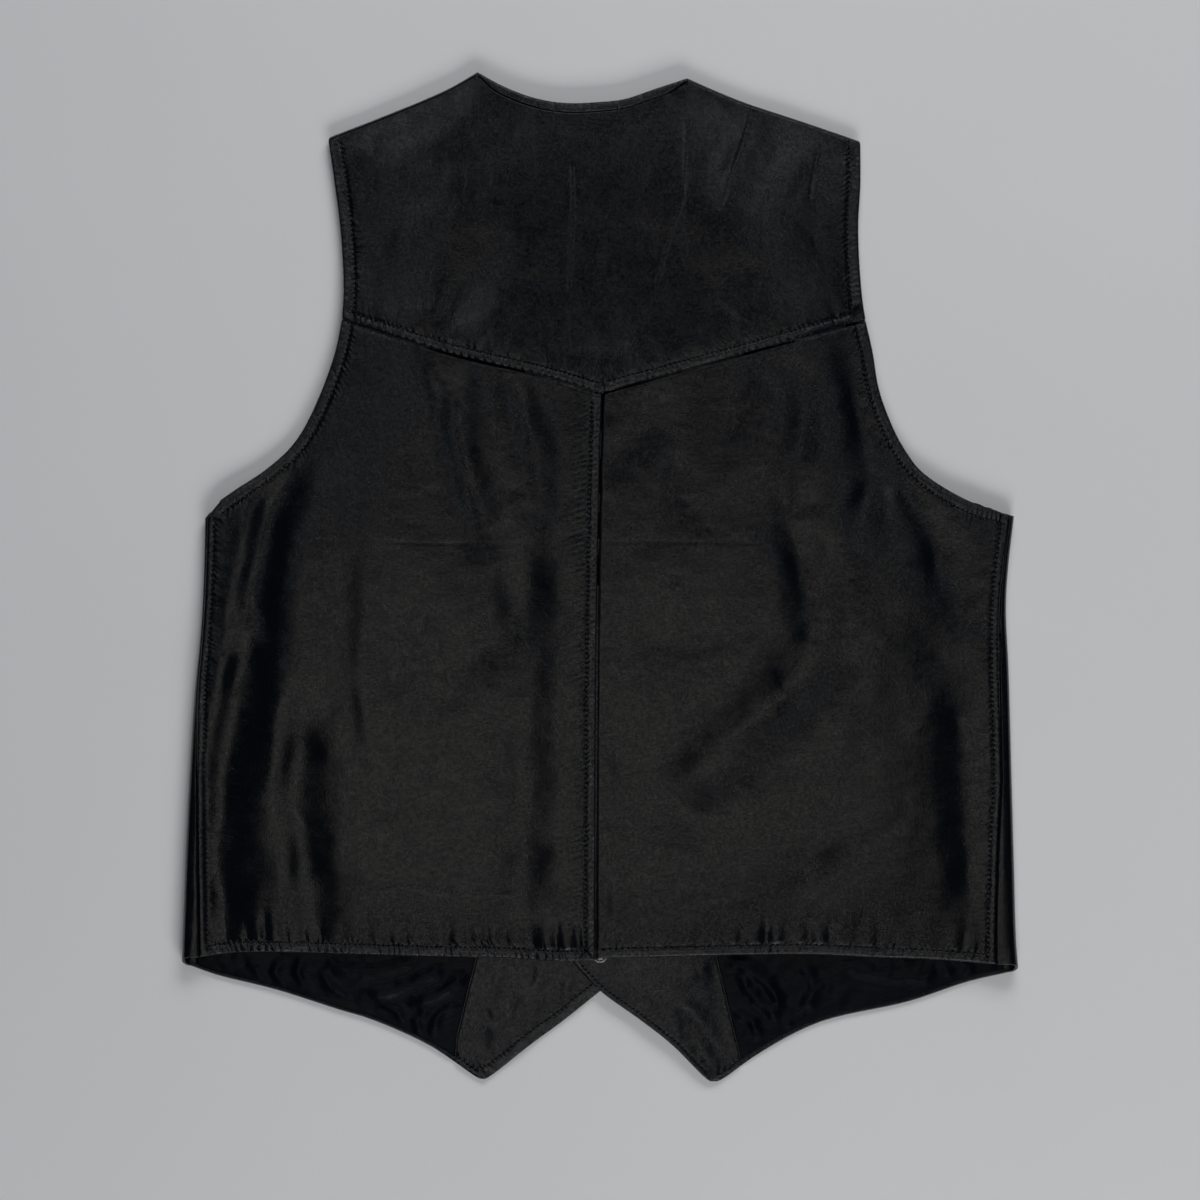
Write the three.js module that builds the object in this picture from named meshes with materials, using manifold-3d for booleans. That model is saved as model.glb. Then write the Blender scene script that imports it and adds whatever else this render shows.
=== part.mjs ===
// A leather vest laid flat with its back face up: a yoke, two back panels and two fronts,
// with the facings, the lining and the snaps that show. Millimetres, +Z up, the neck towards +Y.
// The wearer's left lies towards -X.
import * as THREE from "three";
import { mergeVertices } from "three/addons/utils/BufferGeometryUtils.js";
import Module from "manifold-3d";

const wasm = await Module();
wasm.setup();

// Thicknesses and clearances.
const LEATHER = 1.2;
const SATIN = 1.0;
const SEAM_GAP = 0.3;
const SIDE_SEAM_GAP = 1.1;
const LAYER = LEATHER + SEAM_GAP;
const HEM_THICKNESS = 2 * LEATHER + 0.2;

// Heights of the back face where it lies over the hollow body, and along its edges.
const CROWN_HEIGHT = 15;
const HEM_HEIGHT = 11.2;
const ARMHOLE_HEIGHT = 6.4;
const SHOULDER_HEIGHT = 7;
const NECK_HEIGHT = 8.4;
const SIDE_FOLD_RADIUS_AT_HEM = 6;
const SIDE_FOLD_RADIUS_AT_UNDERARM = 4.6;

// Laps of the back: the yoke over both panels, and the left panel over the right one.
const YOKE_LAP = 8;
const YOKE_LAP_EASE = 0.6;
const CENTRE_LAP = 8;
const CENTRE_LAP_EASE = 0.5;
const LAP_FADE = 7;
const LAP_START_SHARE = 0.04;

// The fronts overlap at the centre line, the right one inside the left one.
const FRONT_EDGE_REACH = 18.6;
const OVERLAP_END = 48;
const OVERLAP_SLOPE_END = 92;
const V_NECK_BOTTOM = 95;
const OVERLAP_TOP = 170;
const OVERLAP_TOP_SLOPE_END = 260;
const FRONT_ARMHOLE_INSET = 5;
const FACING_INSET = 0.5;
const FACING_FIRST_SHARE = 0.004;

// Snaps along the front edge.
const SNAP_COUNT = 4;
const LOWEST_SNAP_Y = -261;
const SNAP_SPACING = 110;
const SNAP_POST_RADIUS = 2;
const SNAP_CAP_RADIUS = 5.5;
const SNAP_RING_RADIUS = 5.4;
const SNAP_CAP_BASE = 0.15;
const SNAP_RING = { edge: 0.4, height: 0.9, slope: 1.2, rim: 2.6, hole: 3.2 };

// Neck facings, rolled over the neck edge.
const NECK_STRIP_DEPTH = 6.5;
const NECK_ROLL_RADIUS = 2.2;
const NECK_SEAM_GAP = 0.6;
const NECK_STRIP_INSIDE = 14;

// One entry for each half. reach is the distance from the centre line, strip how far the front's
// leather comes round the side fold onto the back face, and all curves run up from the hem.
const HALVES = {
  left: {
    sign: -1,
    side: [
      { y: -262, reach: 289.1, strip: 12.8 },
      { y: -243, reach: 288.4, strip: 11.8 },
      { y: -174, reach: 285.7, strip: 8.2 },
      { y: -126, reach: 283.2, strip: 5.1 },
      { y: -78, reach: 280.1, strip: 2.6 },
      { y: -36, reach: 276.0, strip: 1.4 },
      { y: 5, reach: 273.9, strip: 1.2 },
      { y: 41, reach: 273.2, strip: 1.6 },
    ],
    lowerArmhole: [
      { reach: 273.2, y: 41 },
      { reach: 266.3, y: 50 },
      { reach: 252.5, y: 60.4 },
      { reach: 231.8, y: 74.2 },
      { reach: 216, y: 88 },
      { reach: 205.6, y: 101.8 },
      { reach: 192.5, y: 129.4 },
      { reach: 182.9, y: 157 },
      { reach: 178.4, y: 179.1 },
    ],
    upperArmhole: [
      { reach: 178.4, y: 179.1 },
      { reach: 177.3, y: 198.4 },
      { reach: 178, y: 219.1 },
      { reach: 180.1, y: 246.7 },
      { reach: 183.5, y: 274.3 },
      { reach: 187.7, y: 304.6 },
    ],
    shoulder: [
      { reach: 187.7, y: 304.6 },
      { reach: 148.4, y: 319.8 },
      { reach: 107, y: 337.1 },
      { reach: 84.9, y: 349.5 },
    ],
    yokeSeam: [
      { reach: 178.4, y: 179.1 },
      { reach: 171.1, y: 176.3 },
      { reach: 102.1, y: 154.2 },
      { reach: 39.3, y: 139 },
      { reach: 0, y: 127.3 },
    ],
    hem: [
      { reach: 276.3, y: -261.9 },
      { reach: 253.9, y: -259.1 },
      { reach: 235.3, y: -258.4 },
      { reach: 103.5, y: -261.9 },
      { reach: 66.2, y: -262.5 },
      { reach: 27.6, y: -264.6 },
      { reach: 3.5, y: -263.9 },
    ],
    frontHem: [
      { reach: 283.1, y: -269 },
      { reach: 266.3, y: -275 },
      { reach: 224.9, y: -285.3 },
      { reach: 179.4, y: -299.8 },
      { reach: 158.7, y: -306 },
      { reach: 117.3, y: -324.6 },
      { reach: 87.5, y: -345 },
      { reach: 82, y: -348.3 },
    ],
    pointEdge: [
      { reach: 82, y: -348.3 },
      { reach: 77.5, y: -346.4 },
      { reach: 47.6, y: -323.3 },
      { reach: 24.2, y: -306 },
      { reach: 0, y: -286.7 },
      { reach: -FRONT_EDGE_REACH, y: -272 },
    ],
    facingEdge: [
      { y: -350, reach: 101 },
      { y: -319.1, reach: 99.4 },
      { y: -284.6, reach: 91.1 },
      { y: -263.9, reach: 85.6 },
      { y: -150, reach: 64 },
      { y: 95, reach: 40 },
      { y: 349.5, reach: 128 },
    ],
  },
  right: {
    sign: 1,
    side: [
      { y: -267, reach: 289.1, strip: 15.9 },
      { y: -250, reach: 287.7, strip: 14.8 },
      { y: -195, reach: 286.1, strip: 12.2 },
      { y: -138, reach: 284.6, strip: 7.6 },
      { y: -64, reach: 282.6, strip: 7.2 },
      { y: -22, reach: 280.8, strip: 5.0 },
      { y: 5, reach: 282.2, strip: 4.2 },
      { y: 42.4, reach: 286.4, strip: 3.5 },
    ],
    lowerArmhole: [
      { reach: 286.4, y: 42.4 },
      { reach: 276, y: 46.6 },
      { reach: 262.2, y: 50 },
      { reach: 240.8, y: 60.4 },
      { reach: 221.5, y: 74.2 },
      { reach: 211.1, y: 88 },
      { reach: 203.6, y: 101.8 },
      { reach: 193.2, y: 129.4 },
      { reach: 188.4, y: 157 },
      { reach: 183.5, y: 178.4 },
    ],
    upperArmhole: [
      { reach: 183.5, y: 178.4 },
      { reach: 181.5, y: 191.5 },
      { reach: 179.4, y: 219.1 },
      { reach: 178.7, y: 246.7 },
      { reach: 180.1, y: 274.3 },
      { reach: 180.1, y: 301.9 },
    ],
    shoulder: [
      { reach: 180.1, y: 301.9 },
      { reach: 141.5, y: 315 },
      { reach: 100.1, y: 328.8 },
      { reach: 79.4, y: 337.1 },
      { reach: 60.7, y: 345.3 },
    ],
    yokeSeam: [
      { reach: 183.5, y: 178.4 },
      { reach: 115.9, y: 159 },
      { reach: 68.3, y: 145.9 },
      { reach: 0, y: 127.3 },
    ],
    hem: [
      { reach: 272.9, y: -267.4 },
      { reach: 228.4, y: -263.9 },
      { reach: 189.1, y: -262.5 },
      { reach: 149, y: -260.5 },
      { reach: 42.8, y: -261.9 },
      { reach: 13.8, y: -262.5 },
      { reach: -3.5, y: -263.9 },
    ],
    frontHem: [
      { reach: 283.1, y: -273.4 },
      { reach: 255.3, y: -279.8 },
      { reach: 213.9, y: -293.6 },
      { reach: 151.8, y: -308.1 },
      { reach: 110.4, y: -329.5 },
      { reach: 85, y: -347.4 },
      { reach: 79, y: -350.2 },
    ],
    pointEdge: [
      { reach: 79, y: -350.2 },
      { reach: 74, y: -347.4 },
      { reach: 49.7, y: -323.3 },
      { reach: 27.6, y: -306 },
      { reach: 0, y: -286 },
      { reach: -FRONT_EDGE_REACH, y: -266.7 },
    ],
    facingEdge: [
      { y: -350, reach: 100 },
      { y: -329.5, reach: 96.6 },
      { y: -298.4, reach: 89 },
      { y: -263.2, reach: 80.7 },
      { y: -150, reach: 62 },
      { y: 95, reach: 40 },
      { y: 345.3, reach: 104 },
    ],
  },
};

// The centre back seam, from the hem to the yoke, as the left panel's free edge.
const CENTRE_SEAM = [
  { x: -3.5, y: -263.9 },
  { x: -3.1, y: -125.9 },
  { x: -2.1, y: -19 },
  { x: -0.3, y: 67.3 },
  { x: 1.4, y: 127.3 },
];

// The neck edge and the seam of its facings below it, from the left neck point to the right one.
const NECK_EDGE = [
  { x: -84.9, y: 349.5 },
  { x: -65.6, y: 339.1 },
  { x: -44.9, y: 331.5 },
  { x: -24.2, y: 328.1 },
  { x: 0, y: 328.8 },
  { x: 17.3, y: 330.9 },
  { x: 38, y: 337.8 },
  { x: 60.7, y: 345.3 },
];
const NECK_STRIP_JOINTS = [
  { name: "neck_facing_left", from: 0.03, to: 0.385 },
  { name: "neck_facing_centre", from: 0.39, to: 0.665 },
  { name: "neck_facing_right", from: 0.67, to: 0.97 },
];

// The largest folds of the back face. rise is the height of a ridge, or of a trough where it is
// negative, and width is half its breadth. Each runs through its points.
const FOLDS = [
  {
    rise: -4.4, width: 15,
    path: [[-207, 74], [-221, 12], [-231, -43], [-245, -112], [-252, -188], [-248, -243]],
  },
  { rise: 2.2, width: 10, path: [[-233, 54], [-248, -29], [-259, -112]] },
  { rise: -1.4, width: 11, path: [[-176, 122], [-178, 26], [-176, -29]] },
  { rise: -2.6, width: 11, path: [[-193, -98], [-195, -153], [-186, -216], [-190, -243]] },
  { rise: -2.8, width: 9, path: [[-93, 150], [-98, 109], [-90, 67], [-79, 33]] },
  { rise: -2.0, width: 8, path: [[-59, 136], [-48, 95], [-41, 53]] },
  { rise: -1.6, width: 10, path: [[-41, -9], [-69, -43], [-93, -78]] },
  { rise: -2.4, width: 12, path: [[-45, 12], [-31, -43], [-38, -85], [-35, -174]] },
  { rise: -2.6, width: 10, path: [[161, 160], [169, 136], [174, 95], [176, 67], [171, 33]] },
  { rise: -2.2, width: 9, path: [[108, 147], [128, 126], [130, 102], [126, 67]] },
  { rise: -2.0, width: 9, path: [[131, 53], [159, 53]] },
  {
    rise: -3.8, width: 14,
    path: [[124, 40], [128, 12], [135, -43], [117, -85], [90, -98], [69, -119], [47, -153]],
  },
  { rise: -1.6, width: 8, path: [[38, 129], [28, 102], [14, 81]] },
  { rise: -1.4, width: 9, path: [[45, 116], [55, 47]] },
  { rise: -2.6, width: 10, path: [[210, 74], [224, 40], [238, 5], [252, -29]] },
  { rise: -2.6, width: 14, path: [[224, -50], [238, -85], [242, -140]] },
  { rise: -2.2, width: 10, path: [[179, -188], [152, -209], [131, -222]] },
  { rise: -1.2, width: 9, path: [[14, -98], [24, -167]] },
  { rise: 1.6, width: 15, path: [[-168, 268], [-138, 296], [-96, 318]] },
  { rise: -2.2, width: 8, path: [[106, 318], [97, 295], [88, 271], [83, 254]] },
  { rise: 2.0, width: 11, path: [[97, 271], [117, 254], [131, 219]] },
  { rise: -2.0, width: 15, path: [[69, 226], [110, 191]] },
  { rise: -1.8, width: 11, path: [[-83, 229], [-100, 191], [-110, 160]] },
  { rise: -1.6, width: 26, path: [[0, 262], [0, 185]] },
  { rise: -1.2, width: 8, path: [[150, 290], [146, 274], [145, 260]] },
];
const FOLD_END_FADE = 22;
const FOLD_EDGE_CLEARANCE = 14;

// How sharply an edge's pull falls off with distance.
const PULL_POWER = 1.4;

// Where the rows of a panel lie: close together at its corners and turned edges, and even between
// them. share is the share of the panel's height.
const BACK_ROWS = [
  { row: 0, share: 0 },
  { row: 1, share: 0.02 },
  { row: 2, share: 0.024 },
  { row: 18, share: 0.62 },
  { row: 20, share: 0.66 },
  { row: 26, share: 0.98 },
  { row: 27, share: 1 },
];
const FRONT_ROWS = [
  { row: 0, share: 0 },
  { row: 3, share: 0.06 },
  { row: 10, share: 0.5 },
  { row: 13, share: 0.545 },
  { row: 18, share: 1 },
];
const YOKE_ROWS = [
  { row: 0, share: 0 },
  { row: 1, share: 0.045 },
  { row: 2, share: 0.09 },
  { row: 10, share: 1 },
];
const BACK_COLUMNS = { edge: 4, middle: 17, lap: 3 };
const FRONT_COLUMNS = { wrap: 6, lining: 4, facing: 4 };
const NEAR_EDGE = 10;
const NEAR_LAP = 16;
const FOLD_ROWS = 3;
const NECK_COLUMNS_EACH = 5;
const NECK_SECTION_STEPS = 11;
const SNAP_SEGMENTS = 12;
const HOLE_LENGTH = 20;
const HEM_TURN_UP_SHARE = 0.022;

// Shares of the height at which the outer and inner lines of a panel turn their corners.
const UNDERARM_SHARE = 0.62;
const UNDERARM_FADE = 0.07;
const FRONT_UNDERARM_SHARE = 0.5;
const FRONT_UNDERARM_FADE = 0.052;
const POINT_SHARE = 0.14;
const V_NECK_SHARE = 0.62;
const V_NECK_MIDDLE = { reach: 14, y: 210 };
const CORNER_SHARE = 0.06;
const SHOULDER_DROP = 3;
const SHOULDER_DROP_SHARE = 0.9;
const LINING_UNDERARM_FADE = 0.06;
const INNER_ROWS = { from: 0.006, to: 0.985 };
const LINING_INSET = { side: 3, armhole: 14 };
const INNER_JOINT_GAP = 0.8;

// The yoke's turn over the shoulders, its band below the neck facings, and its columns: first and
// last are the numbers of the columns at the neck points.
const YOKE_TURN = (100 * Math.PI) / 180;
const YOKE_TOP_BAND = 6;
const NECK_SHARES = { from: 0.28, to: 0.67, corner: 0.004 };
const YOKE_COLUMNS = { first: 8, last: 20, count: 29 };

const COLOURS = {
  leather: { color: 0x121214, roughness: 0.42, metalness: 0 },
  facing: { color: 0x1c1b1c, roughness: 0.6, metalness: 0 },
  satin: { color: 0x0b0f1c, roughness: 0.3, metalness: 0 },
  metal: { color: 0xc4c1ba, roughness: 0.25, metalness: 1 },
};

const TINY = 1e-6;
const BISECTIONS = 24;

const clamp = (value, low, high) => Math.min(Math.max(value, low), high);
const mix = (from, to, share) => from + (to - from) * share;

function smooth(from, to, value) {
  const share = clamp((value - from) / (to - from), 0, 1);
  return share * share * (3 - 2 * share);
}

// A curve through the points of a table, taken by its share of the length.
function curveThrough(points) {
  const curve = new THREE.CatmullRomCurve3(
    points.map(([x, y]) => new THREE.Vector3(x, y, 0)),
    false,
    "centripetal",
  );
  curve.arcLengthDivisions = 400;
  return (share) => {
    const point = curve.getPointAt(clamp(share, 0, 1));
    return [point.x, point.y];
  };
}

// Curves placed end to end, each up to its own share of the whole.
function joined(stretches) {
  return (share) => {
    let from = 0;
    for (const stretch of stretches) {
      if (share <= stretch.until) {
        return stretch.curve((share - from) / (stretch.until - from));
      }
      from = stretch.until;
    }
    return stretches.at(-1).curve(1);
  };
}

// The value of one column of a table at a value of another, straight between its rows.
function columnAt(rows, key, at, wanted) {
  const last = rows.length - 1;
  const next = clamp(rows.findIndex((row) => row[key] > at), 1, last);
  const index = at >= rows[last][key] ? last : next;
  const low = rows[index - 1];
  const high = rows[index];
  const share = clamp((at - low[key]) / (high[key] - low[key]), 0, 1);
  return mix(low[wanted], high[wanted], share);
}

// The distance from a point to a line of points, and the share of the line's length passed there.
function nearestOn(line, x, y) {
  let best = { distance: Infinity, passed: 0 };
  let passed = 0;
  for (let i = 1; i < line.length; i += 1) {
    const [ax, ay] = line[i - 1];
    const dx = line[i][0] - ax;
    const dy = line[i][1] - ay;
    const length = Math.hypot(dx, dy);
    const share = clamp(((x - ax) * dx + (y - ay) * dy) / (length * length), 0, 1);
    const distance = Math.hypot(x - ax - share * dx, y - ay - share * dy);
    if (distance < best.distance) {
      best = { distance, passed: passed + share * length };
    }
    passed += length;
  }
  return { ...best, length: passed };
}

const reversed = (curve) => (share) => curve(1 - share);
const placed = (half, rows) => rows.map((row) => [half.sign * row.reach, row.y]);
const inOrder = (rows) => rows.map((row) => [row.x, row.y]);
const sampled = (curve, count) => Array.from({ length: count + 1 }, (_, i) => curve(i / count));

// The side fold's radius at a height, which is half the height of the back face there.
function sideRadius(y) {
  const share = smooth(-262, 42, y);
  return mix(SIDE_FOLD_RADIUS_AT_HEM, SIDE_FOLD_RADIUS_AT_UNDERARM, share);
}

// The edges that pull the back face down, with the height and the reach of each.
const EDGE_SAMPLES = 24;
const edges = [];
for (const half of Object.values(HALVES)) {
  const armhole = [...half.lowerArmhole, ...half.upperArmhole.slice(1)];
  const outline = (rows) => sampled(curveThrough(placed(half, rows)), EDGE_SAMPLES);
  edges.push(
    { line: outline(half.side), reach: 42, height: (y) => 2 * sideRadius(y), folds: false },
    {
      line: outline(armhole),
      reach: 40,
      height: (y) => mix(2 * SIDE_FOLD_RADIUS_AT_UNDERARM, ARMHOLE_HEIGHT, smooth(42, 100, y)),
      folds: false,
    },
    { line: outline(half.shoulder), reach: 36, height: () => SHOULDER_HEIGHT, folds: false },
    { line: outline(half.hem), reach: 30, height: () => HEM_HEIGHT, folds: true },
  );
}
edges.push({
  line: sampled(curveThrough(inOrder(NECK_EDGE)), EDGE_SAMPLES),
  reach: 40,
  height: () => NECK_HEIGHT,
  folds: false,
});

// The height of the back face's outer side above the floor, without its laps.
function backHeight(x, y) {
  let free = 1;
  let weights = 0;
  let heights = 0;
  let foldShare = 1;
  for (const edge of edges) {
    const { distance } = nearestOn(edge.line, x, y);
    const pull = Math.exp(-((distance / edge.reach) ** PULL_POWER));
    const weight = (pull * pull) / (1 - pull + TINY);
    free *= 1 - pull;
    weights += weight;
    heights += weight * edge.height(y);
    if (!edge.folds) {
      foldShare *= 1 - Math.exp(-((distance / FOLD_EDGE_CLEARANCE) ** 2));
    }
  }
  const edgeHeight = heights / weights;
  let height = mix(edgeHeight, CROWN_HEIGHT, free);
  for (const fold of FOLDS) {
    const { distance, passed, length } = nearestOn(fold.path, x, y);
    const fade = Math.min(FOLD_END_FADE, length / 2);
    const ends = smooth(-fade, fade, passed) * smooth(-fade, fade, length - passed);
    height += fold.rise * ends * foldShare * Math.exp(-((distance / fold.width) ** 2));
  }
  return height;
}

// A closed wall over a grid of columns and rows. pointAt gives the point of a column and a row, on
// the outer face at depth 0 and on the inner face at depth 1.
function wallGeometry(columns, rows, pointAt) {
  const positions = [];
  const index = [];
  const across = columns + 1;
  const face = across * (rows + 1);
  for (let depth = 0; depth < 2; depth += 1) {
    for (let j = 0; j <= rows; j += 1) {
      for (let i = 0; i <= columns; i += 1) {
        positions.push(...pointAt(i, j, depth));
      }
    }
  }
  const quad = (a, b, c, d) => index.push(a, b, c, a, c, d);
  for (let j = 0; j < rows; j += 1) {
    for (let i = 0; i < columns; i += 1) {
      const a = j * across + i;
      quad(a, a + 1, a + across + 1, a + across);
      quad(face + a, face + a + across, face + a + across + 1, face + a + 1);
    }
  }
  const rim = [];
  for (let i = 0; i < columns; i += 1) {
    rim.push(i);
  }
  for (let j = 0; j < rows; j += 1) {
    rim.push(j * across + columns);
  }
  for (let i = columns; i > 0; i -= 1) {
    rim.push(rows * across + i);
  }
  for (let j = rows; j > 0; j -= 1) {
    rim.push(j * across);
  }
  rim.forEach((from, i) => {
    const to = rim[(i + 1) % rim.length];
    quad(from, face + from, face + to, to);
  });
  const geometry = new THREE.BufferGeometry();
  geometry.setAttribute("position", new THREE.Float32BufferAttribute(positions, 3));
  geometry.setIndex(index);
  return facingOut(geometry);
}

// Turns the triangles round where they enclose a negative volume.
function facingOut(geometry) {
  const position = geometry.getAttribute("position");
  const index = geometry.getIndex();
  const corner = (i) => new THREE.Vector3().fromBufferAttribute(position, index.getX(i));
  let volume = 0;
  for (let i = 0; i < index.count; i += 3) {
    volume += corner(i).dot(corner(i + 1).cross(corner(i + 2)));
  }
  if (volume < 0) {
    for (let i = 0; i < index.count; i += 3) {
      const second = index.getX(i + 1);
      index.setX(i + 1, index.getX(i + 2));
      index.setX(i + 2, second);
    }
  }
  return geometry;
}

// A patch between four edges that meet at its corners, as a point of the plan.
function patch(bottom, top, left, right) {
  const corners = [bottom(0), bottom(1), top(0), top(1)];
  return (u, v) =>
    [0, 1].map((axis) => {
      const alongRows = mix(left(v)[axis], right(v)[axis], u);
      const alongColumns = mix(bottom(u)[axis], top(u)[axis], v);
      const [bottomLeft, bottomRight, topLeft, topRight] = corners.map((point) => point[axis]);
      const flat = mix(mix(bottomLeft, bottomRight, u), mix(topLeft, topRight, u), v);
      return alongRows + alongColumns - flat;
    });
}

// A point on a face that turns down over a fold. along is measured from the line where the turn
// begins, outwards, and depth from the outer face inwards.
function overFold(tangent, outward, radius, height, along, depth) {
  const turn = radius > 0 ? along / radius : 0;
  const reach = (radius - depth) * Math.sin(turn);
  const z = height - radius + (radius - depth) * Math.cos(turn);
  return [tangent[0] + outward[0] * reach, tangent[1] + outward[1] * reach, z];
}

// The outer line of a half, from the hem to its top, with the size of the side fold there. Above
// the underarm the fold fades out over a share of the line, which moves inwards by inset.
function sideLine(half, { underarm, fade, armhole, inset }) {
  const line = joined([
    { until: underarm, curve: curveThrough(placed(half, half.side)) },
    { until: 1, curve: curveThrough(placed(half, armhole)) },
  ]);
  return (share) => {
    const [x, y] = line(share);
    const above = smooth(underarm, underarm + fade, share);
    const next = line(Math.min(share + 0.01, 1));
    const before = line(Math.max(share - 0.01, 0));
    const run = Math.hypot(next[0] - before[0], next[1] - before[1]);
    const inwards = (inset * above) / run;
    const full = sideRadius(y) * (1 - above);
    const radius = full < 2 * LEATHER ? 0 : full;
    return {
      x: x - half.sign * inwards * Math.abs(next[1] - before[1]),
      y: y - inwards * Math.abs(next[0] - before[0]),
      radius,
      strip: radius > 0 ? columnAt(half.side, "y", y, "strip") * (1 - above) : 0,
    };
  };
}

// The angle, from the top of the side fold, at which the seam lies on it.
function seamAngle(at) {
  return at.strip < at.radius ? Math.asin(1 - at.strip / at.radius) : 0;
}

const centreSeam = curveThrough(inOrder(CENTRE_SEAM));
const seamTop = centreSeam(1);
const centreLine = [...sampled(centreSeam, EDGE_SAMPLES), [seamTop[0], seamTop[1] + 2 * YOKE_LAP]];

// How much a lapping panel is raised at a distance from its edge, from 0 to 1.
function lapShare(distance, lap) {
  return 1 - smooth(lap + SEAM_GAP, lap + LAP_FADE, distance);
}

// The distance along a back panel's row at a column.
function backRun(column, length) {
  const { edge, middle } = BACK_COLUMNS;
  if (column <= edge) {
    return (column / edge) * NEAR_EDGE;
  }
  const inner = length - NEAR_LAP;
  if (column <= edge + middle) {
    return mix(NEAR_EDGE, inner, (column - edge) / middle);
  }
  return mix(inner, length, (column - edge - middle) / BACK_COLUMNS.lap);
}

// A back panel, between the hem, the side, the armhole, the yoke and the centre seam.
function backPanel(half) {
  const isLeft = half.sign < 0;
  const lap = isLeft ? 0 : CENTRE_LAP;
  const outer = sideLine(half, {
    underarm: UNDERARM_SHARE,
    fade: UNDERARM_FADE,
    armhole: half.lowerArmhole,
    inset: 0,
  });
  const hemLine = curveThrough(placed(half, half.hem));
  const seamLine = curveThrough(placed(half, half.yokeSeam));
  const start = (v) => {
    const at = outer(v);
    return [at.x - half.sign * Math.max(at.radius, at.strip), at.y];
  };
  const hem = (u) => {
    const [x, y] = hemLine(u);
    return [x - lap * u, y];
  };
  const underYoke = (u) => {
    const [x, y] = seamLine(u);
    return [x - lap * u, y + (YOKE_LAP - SEAM_GAP) * smooth(0, LAP_START_SHARE, u)];
  };
  const end = (v) => {
    const [x] = centreSeam(v);
    return [x - lap, mix(hem(1)[1], underYoke(1)[1], v)];
  };
  const plan = patch(hem, underYoke, start, end);
  const columns = BACK_COLUMNS.edge + BACK_COLUMNS.middle + BACK_COLUMNS.lap;
  return wallGeometry(columns, BACK_ROWS.at(-1).row, (column, row, depth) => {
    const v = columnAt(BACK_ROWS, "row", row, "share");
    const at = outer(v);
    const tangent = start(v);
    const arc = at.radius * seamAngle(at);
    const flat = Math.abs(end(v)[0] - tangent[0]);
    const run = backRun(column, arc + flat);
    if (run < arc) {
      const height = backHeight(tangent[0], tangent[1]);
      return overFold(tangent, [half.sign, 0], at.radius, height, arc - run, depth * LEATHER);
    }
    const [x, y] = plan((run - arc) / flat, v);
    const overRight = isLeft ? lapShare(nearestOn(centreLine, x, y).distance, CENTRE_LAP) : 0;
    const turnedUp = v < HEM_TURN_UP_SHARE && overRight === 0;
    const thickness = turnedUp ? HEM_THICKNESS : LEATHER;
    const lift = (LAYER + CENTRE_LAP_EASE) * overRight;
    return [x, y, backHeight(x, y) + lift - depth * thickness];
  });
}

const yokeEdge = joined([
  { until: 0.5, curve: curveThrough(placed(HALVES.left, HALVES.left.yokeSeam)) },
  { until: 1, curve: reversed(curveThrough(placed(HALVES.right, HALVES.right.yokeSeam))) },
]);
const yokeLine = sampled(yokeEdge, 2 * EDGE_SAMPLES);
const neckEdge = curveThrough(inOrder(NECK_EDGE));

// The share of the yoke's breadth at a column, with a column on each side of a neck point.
function yokeShare(column) {
  const { first, last, count } = YOKE_COLUMNS;
  const { from, to, corner } = NECK_SHARES;
  if (column <= first) {
    return mix(0, from, column / first);
  }
  if (column <= last) {
    return mix(from + corner, to - corner, (column - first - 1) / (last - first - 1));
  }
  return mix(to, 1, (column - last - 1) / (count - last - 1));
}

// The yoke, between its pointed lower edge, the armholes, the shoulders and the neck facings.
function yokePanel() {
  const halves = Object.values(HALVES);
  const shoulders = halves.map((half) => curveThrough(placed(half, half.shoulder)));
  const shoulderRadius = SHOULDER_HEIGHT / 2;
  const outline = joined([
    { until: NECK_SHARES.from, curve: shoulders[0] },
    { until: NECK_SHARES.to - TINY, curve: neckEdge },
    { until: 1, curve: reversed(shoulders[1]) },
  ]);
  const inNeck = (u) => u > NECK_SHARES.from + 2 * TINY && u < NECK_SHARES.to - 2 * TINY;
  const top = (u) => {
    const [x, y] = outline(u);
    return [x, y - (inNeck(u) ? NECK_STRIP_DEPTH + NECK_SEAM_GAP + YOKE_TOP_BAND : shoulderRadius)];
  };
  const [left, right] = halves.map((half) => {
    const line = curveThrough(placed(half, half.upperArmhole));
    return (v) => [line(v)[0], line(v)[1] - shoulderRadius * v];
  });
  const plan = patch(yokeEdge, top, left, right);
  const flatRows = YOKE_ROWS.at(-1).row;
  return wallGeometry(YOKE_COLUMNS.count, flatRows + FOLD_ROWS, (column, row, depth) => {
    const u = yokeShare(column);
    const [x, y] = plan(u, columnAt(YOKE_ROWS, "row", row, "share"));
    const sink = depth * LEATHER;
    const beyond = Math.max(row - flatRows, 0) / FOLD_ROWS;
    if (!inNeck(u) && beyond > 0) {
      const along = beyond * YOKE_TURN * shoulderRadius;
      return overFold([x, y], [0, 1], shoulderRadius, backHeight(x, y), along, sink);
    }
    const reachedY = y + beyond * YOKE_TOP_BAND;
    const overPanels = lapShare(nearestOn(yokeLine, x, reachedY).distance, YOKE_LAP);
    const fromSeam = Math.hypot(x - seamTop[0], reachedY - seamTop[1]);
    const overCentre = lapShare(fromSeam, 2 * CENTRE_LAP);
    const lift = overPanels * (LAYER * (1 + overCentre) + YOKE_LAP_EASE);
    return [x, reachedY, backHeight(x, reachedY) + lift - sink];
  });
}

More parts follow.
